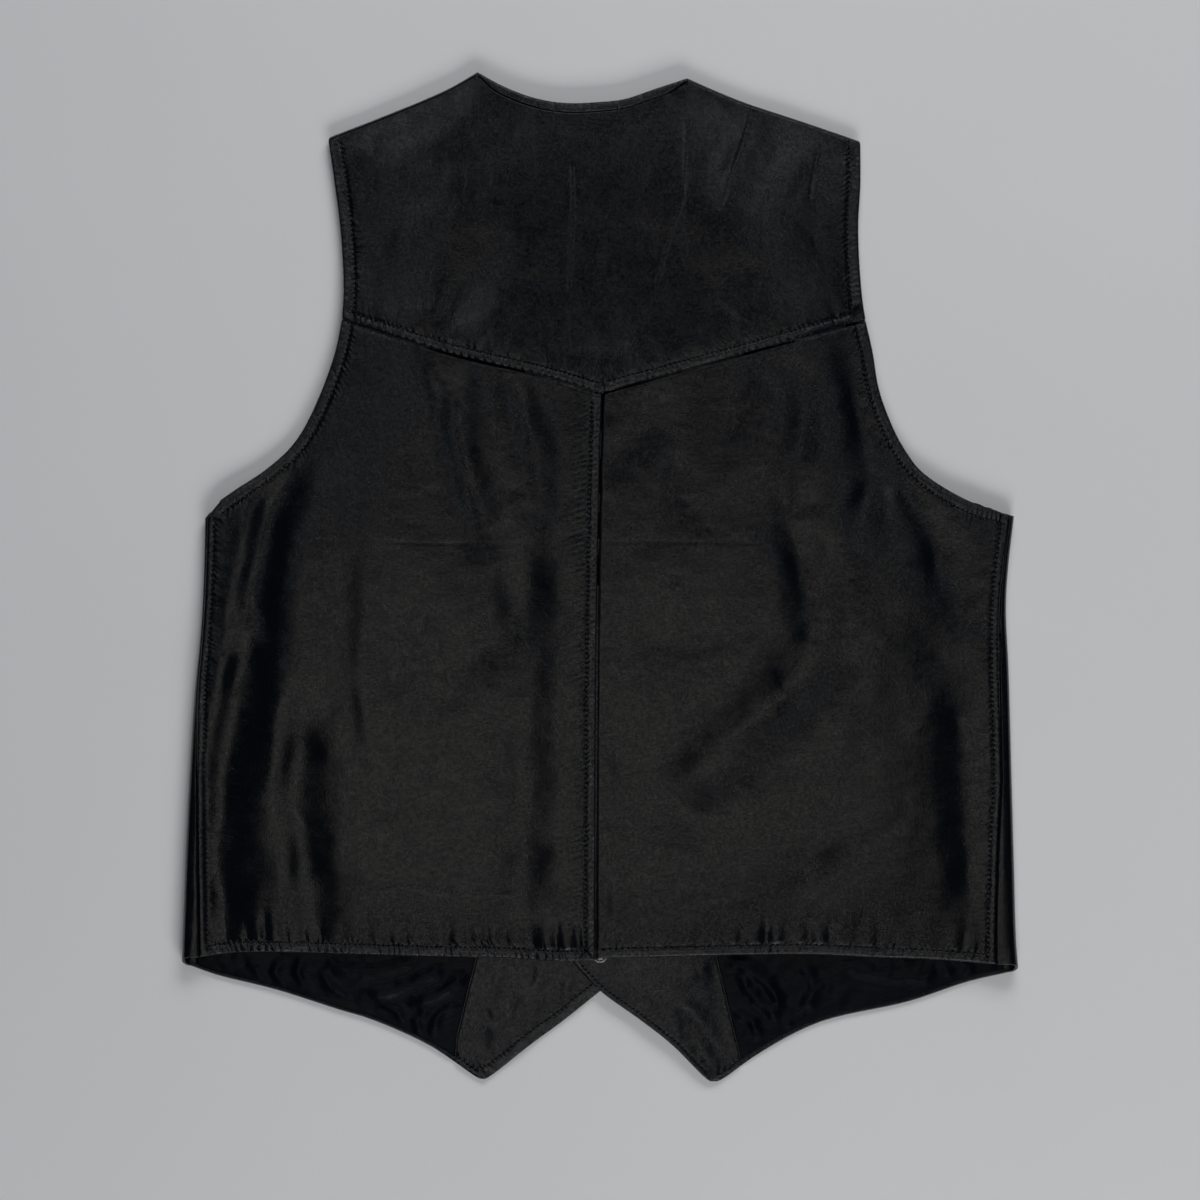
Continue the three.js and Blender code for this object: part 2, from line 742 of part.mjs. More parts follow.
// A neck facing, which comes up from its seam on the back face, rolls over the neck edge and
// runs back inside.
function neckFacing({ from, to }) {
  const top = NECK_STRIP_DEPTH - NECK_ROLL_RADIUS;
  const arc = NECK_ROLL_RADIUS * Math.PI;
  const length = top + arc + NECK_STRIP_INSIDE;
  return wallGeometry(NECK_COLUMNS_EACH, NECK_SECTION_STEPS, (column, row, depth) => {
    const [x, edgeY] = neckEdge(mix(from, to, column / NECK_COLUMNS_EACH));
    const tangentY = edgeY - NECK_ROLL_RADIUS;
    const sink = depth * LEATHER;
    const run = (row / NECK_SECTION_STEPS) * length;
    if (run < top) {
      const y = tangentY - (top - run);
      return [x, y, backHeight(x, y) - sink];
    }
    const turned = Math.min(run - top, arc);
    const height = backHeight(x, tangentY);
    const point = overFold([x, tangentY], [0, 1], NECK_ROLL_RADIUS, height, turned, sink);
    point[1] -= Math.max(run - top - arc, 0);
    return point;
  });
}

// How far a front lies above the floor: the right one rises over the left one at the overlap.
function frontLift(half, x, y) {
  const beside = 1 - smooth(OVERLAP_END, OVERLAP_SLOPE_END, x);
  const below = 1 - smooth(OVERLAP_TOP, OVERLAP_TOP_SLOPE_END, y);
  return half.sign > 0 ? 2 * LAYER * beside * below : 0;
}

// The plan of a front inside its side fold, with its outer and inner lines.
function frontPlan(half) {
  const outer = sideLine(half, {
    underarm: FRONT_UNDERARM_SHARE,
    fade: FRONT_UNDERARM_FADE,
    armhole: [...half.lowerArmhole, ...half.upperArmhole.slice(1)],
    inset: FRONT_ARMHOLE_INSET,
  });
  const line = (rows) => curveThrough(placed(half, rows));
  const corner = half.pointEdge.at(-1);
  const vBottom = { reach: corner.reach, y: V_NECK_BOTTOM };
  const shoulderRadius = SHOULDER_HEIGHT / 2;
  const neckPoint = { ...half.shoulder.at(-1), y: half.shoulder.at(-1).y - shoulderRadius };
  const inner = joined([
    { until: POINT_SHARE, curve: line(half.pointEdge) },
    { until: V_NECK_SHARE, curve: line([corner, vBottom]) },
    { until: 1, curve: line([vBottom, V_NECK_MIDDLE, neckPoint]) },
  ]);
  const shoulder = line(half.shoulder);
  const dropBy = half.frontHem[0].y - half.side[0].y;
  const drop = (v) => dropBy * (1 - smooth(0, CORNER_SHARE, v));
  const start = (v) => {
    const at = outer(v);
    const lowered = (shoulderRadius + SHOULDER_DROP) * smooth(SHOULDER_DROP_SHARE, 1, v);
    return [at.x - half.sign * at.radius, at.y + drop(v) - lowered];
  };
  const top = (u) => {
    const [x, y] = shoulder(u);
    const startGap = [start(1)[0] - shoulder(0)[0], start(1)[1] - shoulder(0)[1] + shoulderRadius];
    return [x + startGap[0] * (1 - u), y - shoulderRadius + startGap[1] * (1 - u)];
  };
  return { outer, inner, drop, start, plan: patch(line(half.frontHem), top, start, inner) };
}

// The share of a front's row at which its facing begins.
function facingShare(half, plan, v) {
  let low = 0;
  let high = 1;
  for (let i = 0; i < BISECTIONS; i += 1) {
    const middle = (low + high) / 2;
    const [x, y] = plan(middle, v);
    const outside = half.sign * x > columnAt(half.facingEdge, "y", y, "reach");
    low = outside ? middle : low;
    high = outside ? high : middle;
  }
  return low;
}

// A front: its strip on the back face, the side fold, the flat stretch on the floor up to the
// front edge and the V neck, and the turn up to the shoulder seam.
function frontPanel(half) {
  const { outer, inner, drop, start, plan } = frontPlan(half);
  const flatRows = FRONT_ROWS.at(-1).row;
  const { wrap, lining, facing } = FRONT_COLUMNS;
  return wallGeometry(wrap + lining + facing, flatRows + FOLD_ROWS, (column, row, depth) => {
    const v = columnAt(FRONT_ROWS, "row", row, "share");
    const at = outer(v);
    const tangent = start(v);
    const sink = depth * LEATHER;
    const onTop = Math.max(at.strip - at.radius - SIDE_SEAM_GAP, 0);
    const gapAngle = at.radius > 0 && onTop === 0 ? SIDE_SEAM_GAP / at.radius : 0;
    const firstAngle = seamAngle(at) + gapAngle;
    const wrapped = onTop + at.radius * (Math.PI - firstAngle);
    const flat = Math.hypot(inner(v)[0] - tangent[0], inner(v)[1] - tangent[1]);
    const near = Math.max(wrapped, NEAR_EDGE);
    const run = (Math.min(column, wrap) / wrap) * near;
    if (run < onTop) {
      const x = tangent[0] - half.sign * (onTop - run);
      const rise = backHeight(x, at.y) - backHeight(tangent[0], at.y);
      return [x, at.y, 2 * at.radius + rise - sink];
    }
    if (run < wrapped - TINY) {
      const turn = firstAngle + (run - onTop) / at.radius;
      const along = turn * at.radius;
      const point = overFold(tangent, [half.sign, 0], at.radius, 2 * at.radius, along, sink);
      point[1] = at.y + (drop(v) * (1 - Math.cos(turn))) / 2;
      return point;
    }
    const first = (run - wrapped) / flat;
    const joint = facingShare(half, plan, v);
    const inLining = clamp((column - wrap) / lining, 0, 1);
    const inFacing = Math.max(column - wrap - lining, 0) / facing;
    const [x, y] = plan(mix(mix(first, joint, inLining), 1, inFacing), v);
    const radius = SHOULDER_HEIGHT / 2;
    const beyond = Math.max(row - flatRows, 0) / FOLD_ROWS;
    const turn = beyond * (Math.PI - YOKE_TURN - SIDE_SEAM_GAP / radius);
    const rise = radius - (radius - sink) * Math.cos(turn);
    return [x, y + (radius - sink) * Math.sin(turn), frontLift(half, x, y) + rise];
  });
}

// A sheet that lies on a front's inside, made from the front's own rows and moved up: the facing
// along its front edge, or the lining beside it.
function innerSheet(half, { isFacing, thickness }) {
  const { inner, start, plan } = frontPlan(half);
  const columns = isFacing ? FRONT_COLUMNS.facing : FRONT_COLUMNS.lining;
  return wallGeometry(columns, FRONT_ROWS.at(-1).row, (column, row, depth) => {
    const lowest = isFacing ? FACING_FIRST_SHARE : INNER_ROWS.from;
    const v = clamp(columnAt(FRONT_ROWS, "row", row, "share"), lowest, INNER_ROWS.to);
    const length = Math.hypot(inner(v)[0] - start(v)[0], inner(v)[1] - start(v)[1]);
    const joint = facingShare(half, plan, v);
    const gap = INNER_JOINT_GAP / 2 / length;
    const above = smooth(FRONT_UNDERARM_SHARE - LINING_UNDERARM_FADE, FRONT_UNDERARM_SHARE, v);
    const side = mix(LINING_INSET.side, LINING_INSET.armhole, above) / length;
    const share = column / columns;
    const u = isFacing ? mix(joint + gap, 1 - FACING_INSET / length, share) : mix(side, joint - gap, share);
    const [x, y] = plan(u, v);
    return [x, y, frontLift(half, x, y) + LAYER + (1 - depth) * thickness];
  });
}

// A fastened snap: its cap in the outer front, its post through all layers and its ring inside.
function snapGeometry() {
  const ringBase = 4 * LAYER;
  const ringEdge = ringBase + SNAP_RING.edge;
  const ringTop = ringBase + SNAP_RING.height;
  const profile = [
    [0, SNAP_CAP_BASE],
    [SNAP_CAP_RADIUS, SNAP_CAP_BASE],
    [SNAP_CAP_RADIUS, LEATHER],
    [SNAP_POST_RADIUS, LEATHER],
    [SNAP_POST_RADIUS, ringBase],
    [SNAP_RING_RADIUS, ringBase],
    [SNAP_RING_RADIUS, ringEdge],
    [SNAP_RING_RADIUS - SNAP_RING.slope, ringTop],
    [SNAP_RING_RADIUS - SNAP_RING.rim, ringTop],
    [SNAP_RING_RADIUS - SNAP_RING.hole, ringEdge],
    [0, ringEdge],
  ];
  const geometry = new THREE.LatheGeometry(
    profile.map(([radius, height]) => new THREE.Vector2(radius, height)),
    SNAP_SEGMENTS,
  );
  geometry.rotateX(Math.PI / 2);
  return facingOut(bare(geometry));
}

// A geometry of positions alone, with its shared vertices merged.
function bare(geometry) {
  geometry.deleteAttribute("normal");
  geometry.deleteAttribute("uv");
  return mergeVertices(geometry, 1e-4);
}

function solidOf(geometry) {
  const merged = mergeVertices(geometry, 1e-4);
  return new wasm.Manifold(
    new wasm.Mesh({
      numProp: 3,
      vertProperties: merged.getAttribute("position").array,
      triVerts: new Uint32Array(merged.getIndex().array),
    }),
  );
}

function geometryOf(solid) {
  const mesh = solid.getMesh();
  const geometry = new THREE.BufferGeometry();
  geometry.setAttribute("position", new THREE.BufferAttribute(mesh.vertProperties, 3));
  geometry.setIndex(new THREE.BufferAttribute(mesh.triVerts, 1));
  return geometry;
}

const snapHeights = Array.from({ length: SNAP_COUNT }, (_, i) => LOWEST_SNAP_Y + i * SNAP_SPACING);

// Cuts the snaps' holes through a layer of the fronts.
function withSnapHoles(geometry, radius) {
  let solid = solidOf(geometry);
  for (const y of snapHeights) {
    const hole = new THREE.CylinderGeometry(radius, radius, HOLE_LENGTH, SNAP_SEGMENTS);
    hole.rotateX(Math.PI / 2);
    hole.translate(0, y, 0);
    solid = solid.subtract(solidOf(bare(hole)));
  }
  return geometryOf(solid);
}

const vest = new THREE.Group();

function add(name, geometry, finish) {
  geometry.computeVertexNormals();
  const mesh = new THREE.Mesh(geometry, new THREE.MeshStandardMaterial(COLOURS[finish]));
  mesh.name = name;
  vest.add(mesh);
  return mesh;
}

for (const [name, half] of Object.entries(HALVES)) {
  const postHole = SNAP_POST_RADIUS + SEAM_GAP;
  const capHole = SNAP_CAP_RADIUS + SEAM_GAP;
  const facing = innerSheet(half, { isFacing: true, thickness: LEATHER });
  const lining = innerSheet(half, { isFacing: false, thickness: SATIN });
  add(`back_${name}`, backPanel(half), "leather");
  add(`front_${name}`, withSnapHoles(frontPanel(half), name === "left" ? capHole : postHole), "leather");
  add(`front_facing_${name}`, withSnapHoles(facing, postHole), "facing");
  add(`front_lining_${name}`, lining, "satin");
}
add("back_yoke", yokePanel(), "leather");
for (const strip of NECK_STRIP_JOINTS) {
  add(strip.name, neckFacing(strip), "leather");
}
snapHeights.forEach((y, i) => {
  add(`snap_${i + 1}`, snapGeometry(), "metal").position.y = y;
});

export default vest;
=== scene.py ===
"""A black leather vest, laid flat with its back face up.

Each panel is a thin shell over the heights at which the vest lies on the floor. Metres, with +Z
up, the neck towards +Y and the wearer's left towards -X.
"""

import logging
import math
from dataclasses import dataclass
from enum import Enum
from functools import reduce
from typing import Callable, NamedTuple, Sequence

import bpy
import numpy as np
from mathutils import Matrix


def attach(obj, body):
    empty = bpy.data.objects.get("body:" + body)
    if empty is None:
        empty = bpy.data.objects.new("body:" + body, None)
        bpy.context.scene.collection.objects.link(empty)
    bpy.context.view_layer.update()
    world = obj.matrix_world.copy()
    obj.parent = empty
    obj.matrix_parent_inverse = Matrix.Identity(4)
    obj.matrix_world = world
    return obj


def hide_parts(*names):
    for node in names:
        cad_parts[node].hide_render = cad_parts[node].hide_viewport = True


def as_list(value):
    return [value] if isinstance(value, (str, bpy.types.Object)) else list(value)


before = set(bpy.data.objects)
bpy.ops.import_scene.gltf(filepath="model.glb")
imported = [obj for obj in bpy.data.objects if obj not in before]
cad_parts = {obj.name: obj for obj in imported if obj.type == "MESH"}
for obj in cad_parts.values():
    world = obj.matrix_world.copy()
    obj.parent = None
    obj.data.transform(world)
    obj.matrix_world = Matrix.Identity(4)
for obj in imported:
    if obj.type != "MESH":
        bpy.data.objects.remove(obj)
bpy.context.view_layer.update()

Array = np.ndarray
PlanCurve = Callable[[Array], Array]

log = logging.getLogger("vest")


class Finish(Enum):
    """The record's material slots."""

    LEATHER = "black_leather"
    FACING = "facing_leather"
    SATIN = "lining_satin"
    METAL = "snap_metal"


class Side(Enum):
    """The wearer's side of a panel, with the sign of its x."""

    LEFT = -1
    RIGHT = 1


class Edge(NamedTuple):
    """A point of a half's outline: its distance from the centre line, and its y."""

    reach: float
    y: float


class SideEdge(NamedTuple):
    """A point of a side fold, with the breadth of the front's strip on the back face there."""

    y: float
    reach: float
    strip: float


class Fold(NamedTuple):
    """A fold along a path: the height of a ridge or, negative, of a trough, and half its breadth."""

    rise: float
    width: float
    path: tuple


def in_metres(*rows: tuple) -> tuple:
    """Rows of the pattern, which are measured in millimetres, as rows of metres."""
    return tuple(tuple(measure / 1000 for measure in row) for row in rows)


def edges(*rows: tuple) -> list[Edge]:
    """A stretch of outline from rows of millimetres."""
    return [Edge(*row) for row in in_metres(*rows)]


def side_edges(*rows: tuple) -> list[SideEdge]:
    """A side fold from rows of millimetres."""
    return [SideEdge(*row) for row in in_metres(*rows)]


def folds(*rows: tuple) -> list[Fold]:
    """Folds from rows of millimetres: the rise, half the breadth, and the points of the path."""
    return [Fold(rise / 1000, width / 1000, in_metres(*path)) for rise, width, *path in rows]


# Thicknesses and clearances of the leather and the lining.
LEATHER = 0.0012
LAYER = 0.0015
NEAR_CONTACT = 0.00015
TURNED_HEM = 0.0026
TURNED_EDGE = 0.0021

# Heights of the back face, and the laps of its panels.
CROWN_HEIGHT = 0.015
HEM_HEIGHT = 0.0112
ARMHOLE_HEIGHT = 0.0064
SHOULDER_HEIGHT = 0.007
SHOULDER_RADIUS = SHOULDER_HEIGHT / 2
NECK_HEIGHT = 0.0084
SIDE_RADIUS_AT_HEM = 0.006
SIDE_RADIUS_AT_UNDERARM = 0.0046
YOKE_LAP = 0.008
YOKE_LAP_EASE = 0.0006
CENTRE_LAP = 0.008
CENTRE_LAP_EASE = 0.0005
LAP_FADE = 0.007
SEAM_DIP = 0.0012
YOKE_LAP_SLOPE = 0.045
CENTRE_LAP_LEVEL = 0.024
CENTRE_LAP_SLOPE = 0.055
PULL_POWER = 1.4
TINY = 1e-9

# A distance that is beyond every edge, and the plan's direction north.
FAR = 1.0
NORTH = np.array([0.0, 1.0])

# The radius of a cut edge, and how far in the leather is turned at a hem.
EDGE_RADIUS = 0.0009
TURNED_IN = (0.008, 0.0095)

# Distances from a rolled edge at which the grids have their first columns and rows.
ROLL_STEPS = np.array([0.0, 0.00012, 0.0004, 0.0008, 0.0013, 0.002])

# The step between the points of a row of stitches, and how far its thread lies above the leather.
SEWING_STEP = 0.0011
THREAD_LIFT = 0.00006

# The fronts' overlap and the neck facings.
OVERLAP_END = 0.048
OVERLAP_SLOPE_END = 0.092
V_NECK_BOTTOM = 0.095
OVERLAP_TOP = 0.17
OVERLAP_TOP_SLOPE_END = 0.26
FRONT_ARMHOLE_INSET = 0.005
NECK_STRIP_DEPTH = 0.0065
NECK_ROLL_RADIUS = 0.0022
NECK_SEAM_GAP = 0.0003
NECK_STRIP_INSIDE = 0.014
YOKE_TOP_BAND = 0.006
YOKE_TURN = math.radians(100)
FRONT_HEIGHT = 0.65


@dataclass(frozen=True)
class HalfPattern:
    """The outline of one half of the vest, with each curve running up from the hem."""

    side: Side
    fold: Sequence[SideEdge]
    lower_armhole: Sequence[Edge]
    upper_armhole: Sequence[Edge]
    shoulder: Sequence[Edge]
    yoke_seam: Sequence[Edge]
    hem: Sequence[Edge]
    front_hem: Sequence[Edge]
    point_edge: Sequence[Edge]
    facing_edge: Sequence[Edge]

    @property
    def sign(self) -> int:
        """The sign of x on this side."""
        return self.side.value

    def placed(self, rows: Sequence) -> list:
        """Rows of this half as points of the plan."""
        return [(self.sign * row.reach, row.y) for row in rows]

    def line(self, rows: Sequence) -> "Line":
        """A smooth line through rows of this half."""
        return Line(self.placed(rows))

    def armhole(self) -> list:
        """The whole armhole, from the underarm to the shoulder."""
        return [*self.lower_armhole, *self.upper_armhole[1:]]


LEFT_HALF = HalfPattern(
    side=Side.LEFT,
    fold=side_edges(
        (-262, 289.1, 12.8), (-243, 288.4, 11.8), (-174, 285.7, 8.2), (-126, 283.2, 5.1), (-78, 280.1, 2.6),
        (-36, 276, 1.4), (5, 273.9, 1.2), (41, 273.2, 1.6),
    ),
    lower_armhole=edges(
        (273.2, 41), (266.3, 50), (252.5, 60.4), (231.8, 74.2), (216, 88), (205.6, 101.8), (192.5, 129.4),
        (182.9, 157), (178.4, 179.1),
    ),
    upper_armhole=edges(
        (178.4, 179.1), (177.3, 198.4), (178, 219.1), (180.1, 246.7), (183.5, 274.3), (187.7, 304.6),
    ),
    shoulder=edges((187.7, 304.6), (148.4, 319.8), (107, 337.1), (84.9, 349.5)),
    yoke_seam=edges((178.4, 179.1), (171.1, 176.3), (102.1, 154.2), (39.3, 139), (0, 127.3)),
    hem=edges(
        (276.3, -261.9), (253.9, -259.1), (235.3, -258.4), (103.5, -261.9), (66.2, -262.5), (27.6, -264.6),
        (3.5, -263.9),
    ),
    front_hem=edges(
        (283.1, -269), (266.3, -275), (224.9, -285.3), (179.4, -299.8), (158.7, -306), (117.3, -324.6),
        (87.5, -345), (82, -348.3),
    ),
    point_edge=edges(
        (82, -348.3), (77.5, -346.4), (47.6, -323.3), (24.2, -306), (0, -286.7), (-18.6, -272),
    ),
    facing_edge=edges(
        (101, -350), (99.4, -319.1), (91.1, -284.6), (85.6, -263.9), (64, -150), (40, 95), (128, 349.5),
    ),
)

RIGHT_HALF = HalfPattern(
    side=Side.RIGHT,
    fold=side_edges(
        (-267, 289.1, 15.9), (-250, 287.7, 14.8), (-195, 286.1, 12.2), (-138, 284.6, 7.6),
        (-64, 282.6, 7.2), (-22, 280.8, 5), (5, 282.2, 4.2), (42.4, 286.4, 3.5),
    ),
    lower_armhole=edges(
        (286.4, 42.4), (276, 46.6), (262.2, 50), (240.8, 60.4), (221.5, 74.2), (211.1, 88), (203.6, 101.8),
        (193.2, 129.4), (188.4, 157), (183.5, 178.4),
    ),
    upper_armhole=edges(
        (183.5, 178.4), (181.5, 191.5), (179.4, 219.1), (178.7, 246.7), (180.1, 274.3), (180.1, 301.9),
    ),
    shoulder=edges((180.1, 301.9), (141.5, 315), (100.1, 328.8), (79.4, 337.1), (60.7, 345.3)),
    yoke_seam=edges((183.5, 178.4), (115.9, 159), (68.3, 145.9), (0, 127.3)),
    hem=edges(
        (272.9, -267.4), (228.4, -263.9), (189.1, -262.5), (149, -260.5), (42.8, -261.9), (13.8, -262.5),
        (-3.5, -263.9),
    ),
    front_hem=edges(
        (283.1, -273.4), (255.3, -279.8), (213.9, -293.6), (151.8, -308.1), (110.4, -329.5), (85, -347.4),
        (79, -350.2),
    ),
    point_edge=edges(
        (79, -350.2), (74, -347.4), (49.7, -323.3), (27.6, -306), (0, -286), (-18.6, -266.7),
    ),
    facing_edge=edges(
        (100, -350), (96.6, -329.5), (89, -298.4), (80.7, -263.2), (62, -150), (40, 95), (104, 345.3),
    ),
)

CENTRE_SEAM = in_metres(
    (-3.5, -263.9), (-3.1, -125.9), (-2.1, -19), (-0.3, 67.3), (1.4, 127.3),
)
NECK_EDGE = in_metres(
    (-84.9, 349.5), (-65.6, 339.1), (-44.9, 331.5), (-24.2, 328.1), (0, 328.8), (17.3, 330.9), (38, 337.8),
    (60.7, 345.3),
)

# The largest folds of the back face.
MAIN_FOLDS = folds(
    (-4, 11.5, (-219, 78), (-234, 12), (-244, -43), (-257, -112), (-264, -188), (-261, -243)),
    (1.4, 7, (-240, 54), (-256, -29), (-267, -112)),
    (1.6, 12, (-214, 30), (-218, -60), (-228, -130)),
    (-0.7, 11, (-180, 80), (-184, 10), (-182, -40)),
    (-3, 10, (-206, -98), (-208, -153), (-204, -200), (-198, -243)),
    (-2.8, 9, (-93, 150), (-98, 109), (-90, 67), (-79, 33)),
    (-2, 8, (-59, 136), (-48, 95), (-41, 53)),
    (-1.6, 12, (-49, -9), (-77, -43), (-101, -78)),
    (-2.4, 15, (-60, 12), (-50, -43), (-54, -85), (-50, -174), (-51, -215)),
    (-2.4, 9.5, (171, 160), (179, 136), (184, 95), (186, 67), (181, 33)),
    (-1.5, 10, (116, 149), (138, 128), (141, 102), (138, 80)),
    (-1.2, 9, (131, 53), (159, 53)),
    (-3.6, 13, (136, 40), (140, 12), (148, -43), (131, -82)),
    (-3.6, 15, (130, -84), (101, -102), (79, -122), (56, -155)),
    (1.4, 14, (168, -10), (176, -60), (160, -110)),
    (-1.6, 8, (38, 129), (28, 102), (14, 81)),
    (-1.4, 9, (45, 116), (55, 47)),
    (-2.6, 10, (210, 74), (224, 40), (238, 5), (252, -29)),
    (-2.1, 13, (228, -50), (244, -85), (250, -140), (256, -190), (256, -236)),
    (-1.5, 13, (182, -180), (154, -204), (134, -218)),
    (-1.2, 9, (14, -98), (24, -167)),
    (1.6, 15, (-168, 268), (-138, 296), (-96, 318)),
    (-1.1, 9, (106, 318), (97, 295), (88, 271), (83, 254)),
    (2.2, 24, (68, 284), (88, 248), (130, 206)),
    (-1.8, 11, (-83, 229), (-100, 191), (-110, 160)),
    (-1.6, 26, (0, 262), (0, 185)),
    (-0.6, 9, (150, 290), (146, 274), (145, 260)),
)
FOLD_STRENGTH = 1.25
FOLD_BREADTH = 1.45
SMALL_FOLD_STRENGTH = 0.85
SMALL_FOLD_BREADTH = 1.5
FOLD_END_FADE = 0.032
FOLD_EDGE_CLEARANCE = 0.014

# Smaller folds between the main ones.
SMALL_FOLDS = folds(
    (-0.7, 4, (-113, 146), (-111, 139), (-107, 128)),
    (0.6, 5, (-84, 145), (-86, 110), (-80, 80)),
    (0.5, 6, (-108, 128), (-112, 100), (-105, 75)),
    (-0.7, 4.5, (-38, 133), (-33, 120), (-31, 112)),
    (-0.6, 5, (-64, 62), (-50, 44), (-43, 30)),
    (0.7, 6, (-162, 10), (-166, -50), (-160, -110)),
    (-0.6, 6, (-150, -10), (-146, -50), (-138, -85)),
    (0.8, 7, (-214, -130), (-212, -190), (-214, -235)),
    (-0.6, 5, (-90, -120), (-75, -135), (-60, -138)),
    (0.6, 7, (-60, -60), (-62, -110), (-58, -160)),
    (-0.6, 5, (100, 150), (98, 130), (96, 100)),
    (0.7, 6, (150, 150), (152, 110), (148, 60)),
    (-0.7, 4.5, (68, 143), (64, 125), (62, 110)),
    (0.6, 7, (110, 30), (114, -30), (100, -62)),
    (-0.6, 6, (30, -10), (36, -60), (30, -110)),
    (0.7, 4.5, (3, -198), (12, -218), (14, -240)),
    (0.6, 6, (200, -160), (170, -176), (140, -200)),
    (-0.6, 5, (-130, -150), (-110, -160), (-85, -158)),
    (0.6, 5, (-128, 285), (-110, 275), (-98, 262)),
    (-0.5, 6, (-140, 262), (-150, 240), (-152, 215)),
    (0.7, 6, (-148, 205), (-132, 235), (-118, 250)),
    (-0.6, 4, (130, 250), (142, 238), (150, 225)),
    (-0.6, 4, (79, 199), (92, 188), (107, 174)),
    (0.5, 5, (20, 175), (28, 165), (34, 160)),
)

# Sharp creases: where the vest was folded away, and where its yoke was bent.
CREASES = folds(
    (-0.14, 1, (-214, 25.5), (-170, 25), (-120, 23.2), (-40, 23.5)),
    (-0.12, 1, (6, 24.5), (70, 24), (130, 22.8), (205, 23.5)),
    (-0.55, 0.8, (-19.3, 284.6), (-18.6, 246.7), (-20, 219), (-21.4, 198.4)),
    (-0.6, 0.8, (105.6, 324.6), (96.6, 295), (88.3, 270.8), (82.8, 253.6)),
    (-0.35, 0.8, (59.3, 315.7), (56.6, 260.5), (49.7, 239.8), (38, 198.4)),
    (-0.35, 0.8, (151.8, 298.4), (146.3, 274.3), (144.9, 260.5)),
    (-0.3, 0.9, (-169.1, -220.4), (-127.7, -212.9), (-103.5, -217.7), (-60, -219)),
    (-0.7, 1, (5.5, 145.2), (8.3, 134.2)),
)


def smooth(low: float, high: float, value: Array) -> Array:
    """A share that rises softly from 0 at low to 1 at high."""
    share = np.clip((value - low) / (high - low), 0.0, 1.0)
    return share * share * (3.0 - 2.0 * share)


def mix(start: Array, end: Array, share: Array) -> Array:
    """The value between start and end at a share."""
    return start + (end - start) * share


def hill(distance: Array, width: float) -> Array:
    """A rounded hill of height 1 about distance 0."""
    return np.exp(-((distance / width) ** 2))


def edge_roll(distance: Array, radius: float | Array) -> Array:
    """How far a rounded edge lies below its face.

    Args:
        distance: The distance from the edge, inwards.
        radius: The radius of the rounding, which may change along the edge.

    Returns:
        The drop, from the radius at the edge to nothing beyond it.
    """
    inside = np.clip(radius - distance, 0.0, radius)
    return radius - np.sqrt(np.maximum(radius * radius - inside * inside, 0.0))


def edge_wear(distance: Array, reach: float = 0.0016) -> Array:
    """How worn the leather is at a distance from an edge, from 0 to 1."""
    return np.exp(-distance / reach)


def lifted(where: Array, height: Array) -> Array:
    """Points of the plan placed at a height."""
    return np.concatenate([where, height[..., None]], -1)


def north(by: Array) -> Array:
    """Moves along y over the plan."""
    return np.stack([np.zeros_like(by), by], -1)


def through(knots: Array, steps: int) -> Array:
    """Points of a centripetal curve through knots.

    Args:
        knots: The points to pass, one in each row.
        steps: The number of steps between two knots.

    Returns:
        The curve's points.
    """
    ends = [2 * knots[0] - knots[1], 2 * knots[-1] - knots[-2]]
    padded = np.vstack([ends[0], knots, ends[1]])
    share = np.linspace(0.0, 1.0, steps, endpoint=False)[:, None]
    stretches = []
    for a, b, c, d in zip(padded, padded[1:], padded[2:], padded[3:]):
        before, here, after = (np.sqrt(np.linalg.norm(q - p)) for p, q in ((a, b), (b, c), (c, d)))
        start = (b - a) / before - (c - a) / (before + here) + (c - b) / here
        end = (c - b) / here - (d - b) / (here + after) + (d - c) / after
        start, end = start * here, end * here
        cubic = 2 * b - 2 * c + start + end
        square = 3 * c - 3 * b - 2 * start - end
        stretches.append(b + start * share + square * share**2 + cubic * share**3)
    return np.vstack([*stretches, knots[-1:]])


class Line:
    """A line of the plan, taken by its share of the length."""

    STEPS = 24

    def __init__(self, knots: Sequence, curved: bool = True) -> None:
        """Runs the line through knots, as a smooth curve or straight between them."""
        knots = np.array(knots, dtype=float)
        self.points = through(knots, self.STEPS) if curved else knots
        steps = np.linalg.norm(np.diff(self.points, axis=0), axis=1)
        self.passed = np.concatenate([[0.0], np.cumsum(steps)])
        self.length = float(self.passed[-1])

    def at(self, share: Array) -> Array:
        """The points at shares of the length, with x and y on the last axis."""
        run = np.clip(share, 0.0, 1.0) * self.length
        return np.stack([np.interp(run, self.passed, self.points[:, axis]) for axis in (0, 1)], -1)

    def sampled(self, count: int) -> Array:
        """Points evenly along the line, both ends among them."""
        return self.at(np.linspace(0.0, 1.0, count + 1))

    def beside(self, distance: float, start: float = 0.0, end: float = 1.0) -> "Line":
        """The line moved to its left by a distance, between two shares of its length."""
        points = self.at(np.linspace(start, end, 160))
        along = np.gradient(points, axis=0)
        along /= np.linalg.norm(along, axis=1)[:, None]
        return Line(points + distance * np.stack([-along[:, 1], along[:, 0]], 1), curved=False)


def joined(*stretches: tuple[float, PlanCurve]) -> PlanCurve:
    """Curves placed end to end.

    Args:
        stretches: The share at which each stretch ends, and its curve.

    Returns:
        One curve over all of them.
    """

    def at(share: Array) -> Array:
        """The point at a share of the whole."""
        share = np.asarray(share, dtype=float)
        points = np.zeros((*share.shape, 2))
        start = 0.0
        for index, (end, curve) in enumerate(stretches):
            last = index == len(stretches) - 1
            here = (share >= start) & ((share <= end) | last)
            points[here] = curve((share[here] - start) / (end - start))
            start = end + TINY
        return points

    return at


